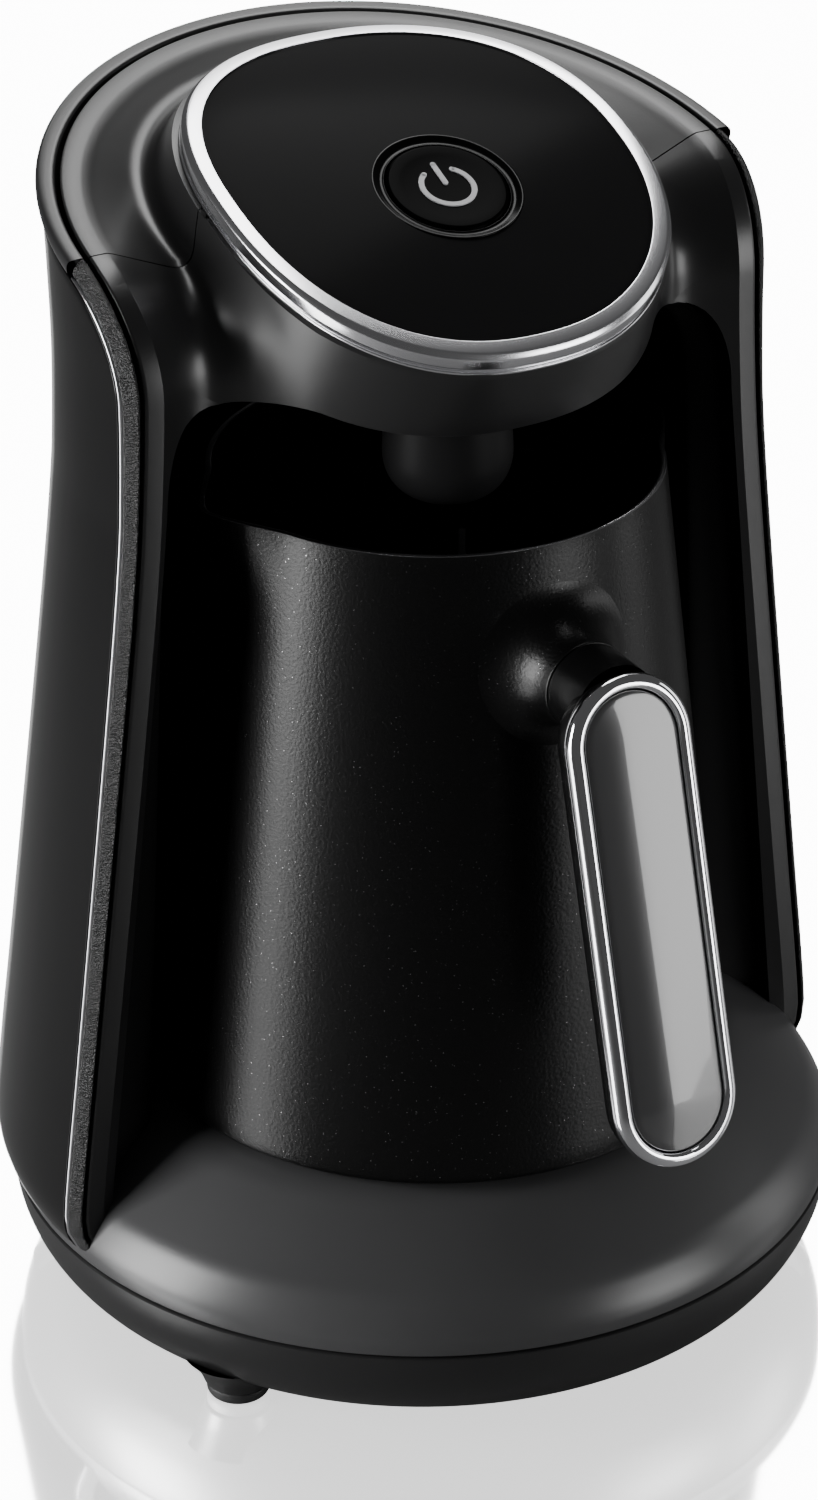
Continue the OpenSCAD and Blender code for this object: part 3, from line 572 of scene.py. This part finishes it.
# distance from the body's skin, in which head and frame run into each other
def shellGap(p):
    a, b = wallGap(p), outsideBy(p.y, p.z) + sheetDepth(p.x, p.y, p.z)
    soft = body["neckSoft"] + (body["cheekSoft"] - body["neckSoft"]) * ease(-p.y, *body["cheekRun"])
    near = max(0, soft - abs(a - b)) / soft
    return min(a, b) - near * near * soft / 4


# moves a point onto the body's skin
def settled(p, rounds=5):
    p, step = Vector(p), 0.05
    ways = [Vector(way) for way in ((step, 0, 0), (0, step, 0), (0, 0, step))]
    for _ in range(rounds):
        gap = shellGap(p)
        slope = Vector([(shellGap(p + way) - gap) / step for way in ways])
        p -= slope * max(-4, min(4, gap)) / max(0.3, slope.length_squared)
    return p


def curveBetween(a, b, c, f):
    return a * (1 - f) ** 2 + b * 2 * f * (1 - f) + c * f * f


cornerFoot = niche["ceiling"] - niche["cornerH"]     # where the bay's upper corners start
mouthY = 1 - body["front"]

# the lower edge of the head's wall, where it turns into the mouth of the bay, and the line up from there
cheek = dict(footEnd=radians(-44), join=radians(-35), top=radians(2), columns=26, under=4.25, inset=0.25)
arcTop = Vector((mouthX(cornerFoot) - niche["cornerW"], 5 - body["front"], niche["ceiling"] + 0.4))
cheekFoot = headPoint(cheek["footEnd"], 0, 0, 1)
cheekMid = Vector((arcTop.x - 3.5, cheekFoot.y + 4.5, arcTop.z + 1.2))


# from the lower edge of the head's wall (f 0) up to the ring (f 1)
def cheekLine(f):
    start = curveBetween(cheekFoot, cheekMid, arcTop, 0.5)
    a = cheek["join"] + (cheek["top"] - cheek["join"]) * f
    deep = 1 - f ** 0.9
    onWall = headPoint(a, -cheek["inset"] * f, cheek["under"], deep)
    return onWall + (start - headPoint(cheek["join"], 0, cheek["under"], 1)) * (1 - f) ** 2


# stretches of the skin: from and to on the edge path, and the columns between
columnStops = [(0, 38, 38), (38, 48, 12), (48, 53, 7), (53, 71, cheek["columns"]), (71, edgeCount, 56)]
sheetColumns = sum(stop[2] for stop in columnStops)
sheetRows = 44


# which stretch a column of the sheet belongs to, how far along it, and its place on the edge path
def columnPlace(k):
    for part, (low, high, count) in enumerate(columnStops):
        if k <= count:
            return part, k / count, low + (high - low) * k / count
        k -= count


# inner end of a column: mouth of the bay, cheek, or underside of the ring
def sheetTarget(part, f):
    if part == 0:
        z = body["foot"] + (cornerFoot - body["foot"]) * f
        return Vector((mouthX(z), mouthY, z))
    if part == 1:
        a = f * pi / 2
        x = mouthX(cornerFoot) - niche["cornerW"] * (1 - cos(a))
        return Vector((x, mouthY, cornerFoot + (arcTop.z - cornerFoot) * sin(a)))
    if part == 2:
        return curveBetween(cheekFoot, cheekMid, arcTop, 1 - f / 2)
    if part == 3:
        return cheekLine(f)
    return headPoint(cheek["top"] + (pi / 2 - cheek["top"]) * f, -cheek["inset"], cheek["under"])


# all points of one column, from the band's inner edge inwards
def sheetColumn(k):
    part, f, along = columnPlace(k)
    outer = Vector(edgePoint(along, -body["frameIn"] - body["band"], 0))
    target = sheetTarget(part, f)
    if part < 4:
        target = settled(target)
    if k == sheetColumns:
        outer.x = target.x = 0
    startS, endS = lengthAt(outer.y, outer.z), lengthAt(target.y, target.z)
    rise = outsideBy(target.y, target.z)
    points = [outer]
    for n in range(1, sheetRows):
        g = n / sheetRows
        g = 1 - (1 - g) ** 1.35
        x, s = outer.x + (target.x - outer.x) * g, startS + (endS - startS) * g
        y, z = outline(s, 0)
        lift = -sheetDepth(x, y, z) * (1 - g ** 5) + rise * g ** 5
        y, z = outline(s, -lift)
        point = settled((x, y, z))
        if k == sheetColumns:
            point.x = 0
        points.append(point)
    return points + [target]


# right half of the skin: band, valley, cheek and the head's wall
def makeSkin():
    edge = -body["frameIn"]
    band = rounded([(edge - 0.3, 3.2, 0), (edge - 0.3, 0.0, 0.55), (edge - body["band"], 0.0, 0)], 5)
    rows = len(band) - 1
    columns = [sheetColumn(k) for k in range(sheetColumns + 1)]

    def sheetPoint(k, n):
        return edgePoint(columnPlace(k)[2], *band[n]) if n < rows else columns[k][n - rows]

    sheet = mappedGrid(sheetColumns, rows + sheetRows, sheetPoint)
    low, mid, high = 34, columnStops[2][2], cheek["columns"]   # columns over the bay, at its corner, beside
    wallRows = 20
    rimSteps, inside = (0.3, 4.2), Vector((0, 4, 196))         # how far the rim turns in, and where it aims
    feet, tops = [], []
    for k in range(low + mid + high + 1):
        if k <= low:
            a = -pi / 2 + (cheek["footEnd"] + pi / 2) * k / low
            foot = settled(headPoint(a, 0, 0, 1))
        elif k <= low + mid:
            f = (k - low) / mid
            a = cheek["footEnd"] + (cheek["join"] - cheek["footEnd"]) * f
            foot = settled(curveBetween(cheekFoot, cheekMid, arcTop, f / 2))
        else:
            f = (k - low - mid) / high
            a = cheek["join"] + (cheek["top"] - cheek["join"]) * f
            foot = settled(cheekLine(f))
        if k == 0:
            foot.x = 0
        feet.append(foot)
        tops.append(headPoint(a, -cheek["inset"], cheek["under"]))

    def wallPoint(k, n):
        if n == wallRows:
            return feet[k]
        point = tops[k] + (feet[k] - tops[k]) * n / wallRows
        point = settled(point) if n else point
        if k == 0:
            point.x = 0
        return point

    wall = mappedGrid(low + mid + high, wallRows, wallPoint)
    rimColumns = sum(stop[2] for stop in columnStops[:3]) + 1
    rim = [column[-1] for column in columns[:rimColumns]] + feet[low + mid - 1::-1]

    def rimPoint(k, n):
        if n == 0:
            return rim[k]
        inwards = ease(k, columnStops[0][2] + 6, len(rim) - low - mid)
        way = Vector((0, 1, 0)) * (1 - inwards) + (inside - rim[k]).normalized() * inwards
        return rim[k] + way * rimSteps[n - 1] + Vector((0, 0, -0.25 if n == 1 else 0)) * inwards

    return joined([sheet, wall, mappedGrid(len(rim) - 1, 2, rimPoint)])


def makeBody():
    makeTrim()
    front, top = cutAtSeam(mirrored(makeSkin()), [1, -1])
    finished("frontFrame", front, satinShell, "machine", ["front_frame", "head_housing"],
             sharp=24)
    finished("topCover", top, satinShell, "machine", ["top_cover"], sharp=24)
    rows, columns, inset = 90, 150, body["trim"] + 0.1

    def onCover(z, f):
        r = outerR(z, 0)
        start = asin((inset - body["front"]) / r)
        turn = start + (pi / 2 - start) * f
        return r * cos(turn), r * sin(turn)

    def coverPoint(k, n):
        f = k / columns
        f = f ** 1.35 if f < 1 else 1
        z = body["topZ"]
        for _ in range(12):   # the height where this column meets the top edge
            z = topEdge(onCover(z, f)[1], inset)
        z = body["foot"] + (z - body["foot"]) * (n / rows)
        x, y = onCover(z, f)
        return (x if k < columns else 0), y, z

    cover = mirrored(mappedGrid(columns, rows, coverPoint))
    finished("outerCover", cover, smoothCover, "machine", ["outer_cover"], sharp=40,
             wall=1.5, edge=0.35)


# height of the side outline over y, drawn in by inset
def topEdge(y, inset):
    r = body["corner"] - inset
    if y >= cornerY - r * slopeSin:
        return body["topZ"] + y * slopeTan - inset / slopeCos
    return cornerZ + sqrt(max(0, r * r - (y - cornerY) ** 2))


makeBody()
print("body made")


def makeNiche():
    columns, rows, bend, roof, side = 96, 40, 10, 8, 14
    footZ, frontY, axisY = 30, 5.2 - body["front"], niche["axisY"] + 2

    # U-shaped section at a height: point and inward direction
    def plan(k, z):
        f = (z - niche["footZ"]) / (niche["ceiling"] - niche["footZ"])
        r = niche["backR"] + (niche["backTopR"] - niche["backR"]) * f
        if k < side or k > columns - side:
            sign = 1 if k < side else -1
            g = (k if k < side else columns - k) / side
            wide = mouthX(z) + 0.1
            return (sign * (wide + (r - wide) * ease(g)), frontY + (axisY - frontY) * g), (-sign, 0)
        a = pi * (k - side) / (columns - 2 * side)
        return (r * cos(a), axisY + (r - 2) * sin(a)), (-cos(a), -sin(a))

    def place(k, n):
        if n <= rows:
            z = footZ + (cornerFoot - footZ) * n / rows
            (x, y), _ = plan(k, z)
            return x, y, z
        (x, y), (nx, ny) = plan(k, cornerFoot)
        if n <= rows + bend:
            a = (n - rows) / bend * pi / 2
            d = niche["cornerW"] * (1 - cos(a))
            return x + nx * d, y + ny * d, cornerFoot + niche["cornerH"] * sin(a)
        x, y = x + nx * niche["cornerW"], y + ny * niche["cornerW"]
        return x * (1 - (n - rows - bend) / roof), y, niche["ceiling"]

    liner = mappedGrid(columns, rows + bend + roof, place)
    half = mouthX(cornerFoot) - niche["cornerW"] + 6
    strip = [(5.2, 0), (0.9, 0), (0.7, 0.3), (0.7, 8)]   # the roof's front edge: (behind the front, up)

    def lintelPoint(k, behind, above):
        x = half * (k / 16 - 1)
        return x, behind - body["front"] + 8 * ease(abs(x), 24, 40), niche["ceiling"] + above

    bay = joined([liner, sweep(32, strip, lintelPoint)])
    finished("nicheLiner", bay, nicheBlack, "machine", ["niche_liner"], facing=-1)


makeNiche()
print("bay lined")


# angle of step k on the way round
def turnAt(k, around):
    return 2 * pi * (k % around) / around


# band round the head from a list of (grow, down)
def headSweep(path, around=160):
    return sweep(around, path, lambda k, grow, down: headPoint(turnAt(k, around), grow, down))


buttonShape = dict(radius=10.75, dish=13.2, top=0.45, behind=0.6)


# puts a piece that was made upright round the origin at the button's place, raised by the plate's crown
def inHead(bm):
    lift = Matrix.Translation((0, buttonShape["behind"], head["crown"] * 0.92))
    onHead = Matrix.Translation((0, head["y"], head["z"])) @ Matrix.Rotation(head["tilt"], 4, 'X')
    bmesh.ops.transform(bm, verts=bm.verts, matrix=onHead @ lift)
    return bm


def makeHead():
    face = rounded([(-3.4, 1.2, 0), (-3.4, 0.0, 0.2), (-0.75, 0.0, 0.3), (0.0, 0.75, 0.35), (0.0, 1.15, 0)])
    side = rounded([(0.0, 1.15, 0), (0.0, 2.9, 0.2), (-0.45, 3.15, 0.2), (-0.45, 3.6, 0.1), (0.05, 3.7, 0.12),
                    (0.05, 4.2, 0.12), (-1.4, 4.25, 0)])
    finished("headRing", headSweep(face), ringSatin, "machine", ["chrome_ring"])
    finished("headRingSide", headSweep(side), ringSide, "machine", ())
    b = buttonShape
    around, rings, plateIn, middleV = 160, 26, 3.42, b["behind"]

    def plate(k, n):
        a = turnAt(k, around)
        f = n / rings
        reach = headReach(sin(a))
        outX = (head["half"] - plateIn) * fuller(cos(a))
        outV = head["wide"] + (reach - plateIn) * fuller(sin(a))
        inX, inV = b["dish"] * cos(a), middleV + b["dish"] * sin(a)
        x, v = inX + (outX - inX) * f, inV + (outV - inV) * f
        share = hypot(x, v - middleV) / hypot(outX, outV - middleV)
        return fromHead(x, v, archAt(v) - 0.35 + head["crown"] * (1 - share * share))

    panel = mappedGrid(around, rings, plate)
    finished("headPlate", panel, glossBlack, "machine", ["top_panel"], facing=1)
    dishR, buttonR, top = b["dish"], b["radius"], -b["top"]
    dish = rounded([(dishR, -1.2, 0), (dishR, -0.42, 0.1), (dishR - 0.35, -0.36, 0.25),
                    (dishR - 1.25, -0.95, 0.5), (buttonR + 0.6, -1.0, 0.3), (buttonR + 0.22, -0.8, 0.15),
                    (buttonR + 0.2, -3, 0)], 5)
    finished("buttonDish", inHead(spun(dish)), dishBlack, "machine", ["button_dish"])
    button = rounded([(0, top - 0.22, 0), (buttonR * 0.55, top - 0.16, 3), (buttonR - 0.5, top, 0.25),
                      (buttonR, top - 0.45, 0.35), (buttonR, -4, 0)], 5)
    finished("powerButton", inHead(spun(button)), buttonBlack, "button", ["power_button"])
    floor = [(1, 0.975)] + [(share, 0.965) for share in (0.93, 0.88, 0.6, 0.3, 0.02)]   # (share, deep)

    def floorPoint(k, share, deep):
        edge = headPoint(turnAt(k, 120), -1.5, 0, deep)
        middle = headPoint(pi / 2, -44, 0, deep)
        return middle + (edge - middle) * share

    under = sweep(120, floor, floorPoint)
    finished("headFloor", under, partBlack, "machine", ["head_floor_cover"])


# generic power sign: an open ring and a bar to the rear, with round ends
def makeSymbol():
    s = dict(radius=4.6, width=0.95, gap=radians(36), barLow=0.9, barHigh=5.7, top=-0.36, sink=-0.75)
    half, steps = s["width"] / 2, 64
    sides, heights = (-half, -half, half, half), (s["sink"], s["top"], s["top"], s["sink"])

    def arc(k, n):
        a = pi / 2 + s["gap"] + (2 * pi - 2 * s["gap"]) * k / steps
        r = s["radius"] + sides[n]
        return r * cos(a), r * sin(a), heights[n]

    parts = [mappedGrid(steps, 3, arc)]
    tips = [pi / 2 + g for g in (s["gap"], -s["gap"])]
    ends = [(s["radius"] * cos(a), s["radius"] * sin(a)) for a in tips]
    for x, y in ends + [(0, s["barLow"]), (0, s["barHigh"])]:
        end = spun([(half, s["sink"]), (half, s["top"]), (0, s["top"])], 24)
        bmesh.ops.translate(end, verts=end.verts, vec=(x, y, 0))
        parts.append(end)
    parts.append(mappedGrid(1, 3, lambda k, n: (sides[n], (s["barLow"], s["barHigh"])[k], heights[n])))
    finished("powerSign", inHead(joined(parts)), symbolGrey, "button", ["power_symbol"])


def makeSensor():
    nose = dict(x=-7, y=-21.3, over=1.15, wide=11.3, neck=10.2, bulb=8.5, headFront=35)
    tip, neck = pot["rimZ"] + nose["over"], nose["neck"]
    profile = [(0, tip)]
    for n in range(1, 15):
        a = n / 14 * pi / 2
        profile.append((nose["wide"] * sin(a) ** 0.72, tip + nose["bulb"] * (1 - cos(a)) ** 1.1))
    profile += [(nose["wide"] - 0.1, tip + 11), (neck + 0.4, tip + 16), (neck, tip + 21), (neck, tip + 30)]
    bulb = spun(profile, 96)
    for v in bulb.verts:     # its top ends inside the head's floor
        rise = (v.co.y + nose["y"] + nose["headFront"]) * tan(head["tilt"])
        v.co.z = min(v.co.z, headPoint(-pi / 2, 0, 0, 0.95).z + rise)
    bmesh.ops.translate(bulb, verts=bulb.verts, vec=(nose["x"], nose["y"], 0))
    finished("foamSensor", bulb, noseBlack, "machine", ["foam_sensor"], sharp=60)


makeHead()
makeSymbol()
makeSensor()
print("head made")


# radius of the pot's wall
def potR(z):
    f = (z - pot["z"]) / (pot["rimZ"] - pot["z"])
    return pot["footR"] + (pot["rimR"] - pot["footR"]) * f


# how far a pouring lip stands out of the round wall
def lipOut(a, z):
    atRim = ease(1, 0, 1 + 4 / pot["lipDepth"]) ** 1.4
    up = ease(z, pot["rimZ"] - pot["lipDepth"], pot["rimZ"] + 4) ** 1.4 / atRim
    near = min(abs(remainder(a, 2 * pi)), abs(remainder(a - pi, 2 * pi)))
    away = sqrt(near * near + 0.0025) - 0.03
    return pot["lipReach"] * up * max(0, 1 - away / pot["lipHalf"]) ** 1.5


def makePot():
    z0, z1, wall, foot = pot["z"], pot["rimZ"], pot["wall"], pot["footR"]
    sole, bowl, rimR, around = z0 + 1.1, z0 + wall + 1.1, potR(z1), 240
    outside = rounded([(0, sole, 0), (foot - 5.2, sole, 0), (foot - 4.9, z0, 0.3), (foot - 0.35, z0, 1.3),
                       (potR(z0 + 3), z0 + 3, 0)], 6)
    outside += [(potR(z), z) for z in [z0 + 3 + (z1 - 0.5 - z0 - 3) * n / 60 for n in range(1, 61)]]
    rim = [(rimR + 0.05, z1 - 0.18), (rimR - 0.2, z1 - 0.02), (rimR - wall + 0.2, z1 - 0.02),
           (rimR - wall - 0.03, z1 - 0.2)]
    inside = [(potR(z) - wall, z) for z in [z1 - 0.6 - (z1 - 0.6 - z0 - 6) * n / 56 for n in range(0, 57)]]
    inside += rounded([(potR(z0 + 6) - wall, z0 + 6, 0), (potR(z0) - wall - 0.5, bowl, 3.5),
                       (0, bowl, 0)], 6)[1:]

    def potPoint(k, r, z):
        a = turnAt(k, around)
        r += lipOut(a, z) if r > 20 else 0     # the lips are in the wall, not in the sole
        return r * cos(a), pot["y"] + r * sin(a), z

    outer, lining = sweep(around, outside + rim[:1], potPoint), sweep(around, [rim[-1]] + inside, potPoint)
    finished("potRim", sweep(around, rim, potPoint), potEdge, "pot", (), sharp=80)
    finished("potBody", outer, potCoat, "pot", ["pot_body"], sharp=60)
    finished("potLining", lining, potInside, "pot", (), sharp=60)


# small upright rib that marks the fill level
def makeMark():
    mark = dict(below=38.5, turn=radians(36), size=(1.4, 1.5, 8), edge=0.35)
    z, a = pot["rimZ"] - mark["below"], pi / 2 - mark["turn"]
    rib = bmesh.new()
    bmesh.ops.create_cube(rib, size=1)
    bmesh.ops.scale(rib, verts=rib.verts, vec=mark["size"])
    bmesh.ops.bevel(rib, geom=rib.edges[:], offset=mark["edge"], segments=3, profile=0.5, affect='EDGES',
                    material=-1)
    r = potR(z) - pot["wall"] - 0.2
    bmesh.ops.rotate(rib, verts=rib.verts, cent=(0, 0, 0), matrix=Matrix.Rotation(a - pi / 2, 3, 'Z'))
    bmesh.ops.translate(rib, verts=rib.verts, vec=(r * cos(a), pot["y"] + r * sin(a), z))
    finished("levelMark", rib, symbolGrey, "pot", ["level_mark"], sharp=60)


wallY = pot["y"] - potR(grip["stemZ"])     # the pot's wall where the handle meets it


# moves a solid that was made upright onto the pot's wall: z out of the wall, x across, y up
def fromWall(solid, bend=lambda across, up, out: 0):
    for v in solid.verts:
        across, up, out = v.co
        v.co = Vector((across, wallY - out + bend(across, up, out), grip["stemZ"] + up))


def makeBoss():
    stemR, long = grip["stemR"], grip["bossLength"]
    path = [(17.6, -1.2), (16.8, -0.35)]
    for n in range(13):
        a = n / 12 * pi / 2
        path.append((stemR + 8.4 * (1 - sin(a)), 9.2 * (1 - cos(a)) * 0.92 - 0.2))
    path += rounded([(stemR, 8.35, 0), (stemR - 0.05, long, 0.25), (stemR - 0.6, long + 0.05, 0)], 3)

    def sag(across, up, out):     # the boss's foot follows the round wall
        r = potR(grip["stemZ"] + up)
        return (pot["y"] - sqrt(max(1, r * r - across * across)) - wallY) * (1 - ease(out, 0.5, 8))

    boss = spun(path, 96)
    fromWall(boss, sag)
    finished("handleBoss", boss, potCoat, "pot", ["handle_boss"], sharp=60)


# point on a straight-sided outline with round ends, along y
def stadium(k, around, grow, width, length):
    r = width / 2 + grow
    run = (length - width) / 2
    half = around // 2
    curve = half // 2 + 4
    k = k % around
    sign = 1 if k < half else -1
    k = k % half
    if k <= curve:
        a = pi * k / curve
        return sign * r * cos(a), sign * (run + r * sin(a))
    f = (k - curve) / (half - curve)
    return sign * -r, sign * (run - 2 * run * f)


# (grow, out) path round the grip, out of its face
def gripSweep(path, around=120):
    along, across = sin(grip["lean"]), cos(grip["lean"])

    def gripPoint(k, grow, out):
        x, v = stadium(k, around, grow, grip["width"], grip["length"])
        return x, grip["y"] + v * along - out * across, grip["z"] + v * across + out * along

    return sweep(around, path, gripPoint)


def makeGrip():
    bezel = rounded([(-2.75, -1.6, 0), (-2.7, -0.75, 0.2), (-2.35, -0.12, 0.35), (-1.5, 0.0, 0.6),
                     (-0.35, -0.55, 0.9), (0.0, -1.7, 0.8), (0.0, -2.7, 0.3), (-0.4, -3.0, 0)], 6)
    finished("gripBezel", gripSweep(bezel), chromeBright, "pot", ["handle_bezel"], sharp=60)
    half, long = grip["width"] / 2, grip["bossLength"]
    inlay = [(-2.95, -1.6), (-2.95, -0.85), (-3.05, -0.7), (-3.3, -0.62)]
    inlay += [(-3.3 - (half - 3.3) * n / 8, -0.62 + 0.5 * sin(n / 8 * pi / 2)) for n in range(1, 9)]
    inlay[-1] = (-half, inlay[-1][1])
    finished("gripInlay", gripSweep(inlay), inlayGrey, "pot", ["handle_inlay"], sharp=60)
    back = rounded([(-0.4, -2.9, 0), (-0.35, -3.2, 0.2), (-0.6, -6.4, 2.2), (-3.2, -9.3, 2.4), (-7, -9.6, 1),
                    (-half, -9.6, 0)], 5)
    reach = (wallY - long) - (grip["y"] + (grip["stemZ"] - grip["z"]) * tan(grip["lean"]) + 5)
    stemR = grip["stemR"]
    stem = spun(rounded([(7.2, long, 0), (stemR - 0.15, 9.0, 0.3), (stemR - 0.2, long + reach, 0)], 3), 64)
    fromWall(stem)
    shell = joined([gripSweep(back), stem])
    finished("gripShell", shell, gripBlack, "pot", ["handle_grip"], sharp=60)


makePot()
makeMark()
makeBoss()
makeGrip()
print("pot made")


def makeHotPlate():
    top, radius, rim, sealR, holeR = 45.05, 44.9, 40, 45.15, baseShape["holeR"] - 0.1
    plate = rounded([(0, top - 2.4, 0), (radius, top - 2.4, 0.3), (radius, top, 0.5), (rim, top, 0.4),
                     (rim - 0.4, top - 0.25, 0.3), (rim - 1, top - 0.05, 0.4), (0, top - 0.05, 0)])
    finished("hotPlate", spun(plate), plateSteel, "machine", ["heating_plate"])
    seal = rounded([(sealR, top - 2.6, 0), (sealR, 44.4, 0.3), (45.8, 44.55, 0.4), (holeR, 44.3, 0.2),
                    (holeR, top - 3, 0)])
    finished("plateSeal", spun(seal), footRubber, "machine", ["plate_seal"])


def makeGland():
    y, z = 65, (baseShape["floorZ"] + baseShape["seamZ"]) / 2 + 1
    gland = spun(rounded([(5.5, 0, 0), (5.5, 2, 0.4), (4.7, 2.4, 0.5), (4.6, 11.6, 0.7), (4.0, 12.4, 0.4),
                          (3.5, 12.3, 0.3), (3.3, 9.5, 0)]), 48)
    for v in gland.verts:     # it points to the rear
        v.co = Vector((v.co.x, y + v.co.z, z + v.co.y))
    finished("cordGland", gland, footRubber, "machine", ["cord_gland"])


makeHotPlate()
makeGland()
print("hot plate made")

# finishes of the CAD nodes that stay
kept = dict(base_screws=screwSteel, heating_element=heaterMetal, heat_shield=screwSteel,
            temperature_sensor=brassCan, thermal_fuse=wireWhite, power_board=boardGreen, relay_block=relayBlue,
            supply_block=coilYellow, wiring_loom=wireWhite, light_guide=guideWhite, tact_switch=partBlack,
            control_board=boardGreen, buzzer=partBlack, head_screws=screwSteel, pot_base_disc=plateSteel,
            handle_screw=screwSteel)
for nodeName, finish in kept.items():
    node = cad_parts[nodeName]
    node.data.materials.clear()
    node.data.materials.append(finish)
print("kept nodes finished")


studio = dict(floorR=3.0, floorTone=0.18, floorGlow=1.3, floorRough=0.07, mirror=6, sheen=0.3,
              room=0.07, wall=2, seen=25, wallAim=(0.4288, 0.7693, 0.4738), wallEdge=(0.945, 0.968))
lamps = dict(     # (place, aim, size, power)
    topSoft=((0.30, 0.38, 1.06), (0, 0.06, 0.21), (0.34, 0.66), 5.4),
    leftStrip=((-0.55, 0.1, 0.18), (0, 0, 0.18), (0.24, 0.4), 5.6),
    rightSoft=((0.52, -0.77, 0.175), (0, 0, 0.175), (0.36, 0.45), 3.6),
    rightStrip=((0.60, -0.2, 0.2), (0, 0, 0.15), (0.2, 0.4), 0.6))
view = dict(azimuth=radians(29.138), elevation=radians(28.278), distance=0.84196, side=-0.002336,
            height=0.101851, focal=4619.5, frameHeight=1500, sensor=36)   # focal and frameHeight in pixels


def makeFloor():
    bm = bmesh.new()
    bmesh.ops.create_circle(bm, cap_ends=True, radius=studio["floorR"], segments=96)
    mesh = bpy.data.meshes.new("floor")
    bm.to_mesh(mesh)
    bm.free()
    floor = newObject("floor", mesh)
    pale, tree, base = newMaterial("floorPale")

    def polished(strength):
        look = {"Color": (strength, strength, strength, 1), "Roughness": studio["floorRough"]}
        return newNode(tree, 'BsdfGlossy', look).outputs[0]

    def added(*shaders):
        total = shaders[0]
        for extra in shaders[1:]:
            total = newNode(tree, 'AddShader', {0: total, 1: extra}).outputs[0]
        return total

    wired(tree, base, {"Base Color": (*[studio["floorTone"]] * 3, 1), "Roughness": 0.6})
    glow = newNode(tree, 'Emission', {"Strength": studio["floorGlow"]}).outputs[0]
    lights = added(base.outputs[0], polished(studio["sheen"]))         # what the object sees
    shown = added(base.outputs[0], glow, polished(studio["mirror"]))   # what the camera sees
    seen = newNode(tree, 'LightPath').outputs["Is Camera Ray"]
    pick = newNode(tree, 'MixShader', {0: seen, 1: lights, 2: shown})
    wired(tree, tree.nodes["Material Output"], {"Surface": pick.outputs[0]})
    mesh.materials.append(pale)


# dim room with one lit patch of wall behind the object, and a white wall for the camera alone
def makeWorld():
    world = bpy.data.worlds.new("studio")
    bpy.context.scene.world = world
    world.use_nodes = True
    tree = world.node_tree
    path = newNode(tree, 'LightPath').outputs["Is Camera Ray"]
    look = newNode(tree, 'TexCoord').outputs["Generated"]
    aim = newNode(tree, 'VectorMath', {0: look, 1: studio["wallAim"]}, operation='DOT_PRODUCT')
    low, high = studio["wallEdge"]
    spread = {"Value": aim.outputs["Value"], "From Min": low, "From Max": high,
              "To Min": studio["room"], "To Max": studio["wall"]}
    lit = newNode(tree, 'MapRange', spread, interpolation_type='SMOOTHSTEP').outputs["Result"]
    strength = mathNode(tree, 'MULTIPLY_ADD', path, studio["seen"], lit)
    wired(tree, tree.nodes["Background"], {"Color": (1, 1, 1, 1), "Strength": strength})


def areaLight(name, place, aim, size, power):
    data = bpy.data.lights.new(name, 'AREA')
    data.shape, data.size, data.size_y, data.energy = 'RECTANGLE', size[0], size[1], power
    lamp = newObject(name, data)
    lamp.visible_camera = False
    lamp.location = place
    lamp.rotation_euler = (Vector(aim) - Vector(place)).to_track_quat('-Z', 'Y').to_euler()


def makeCamera():
    a, e = view["azimuth"], view["elevation"]
    back = Vector((-sin(a) * cos(e), -cos(a) * cos(e), sin(e)))
    right = Vector((cos(a), -sin(a), 0))
    up = back.cross(right)
    target = Vector((0, centreY, view["height"])) + right * view["side"]
    data = bpy.data.cameras.new("camera")
    data.sensor_width = view["sensor"]
    data.lens = view["focal"] / view["frameHeight"] * view["sensor"]
    camera = newObject("camera", data)
    turn = Matrix((right, up, back)).transposed().to_4x4()
    camera.matrix_world = Matrix.Translation(target + back * view["distance"]) @ turn
    bpy.context.scene.camera = camera


makeFloor()
makeWorld()
for lampName, setting in lamps.items():
    areaLight(lampName, *setting)
makeCamera()
print("studio made")
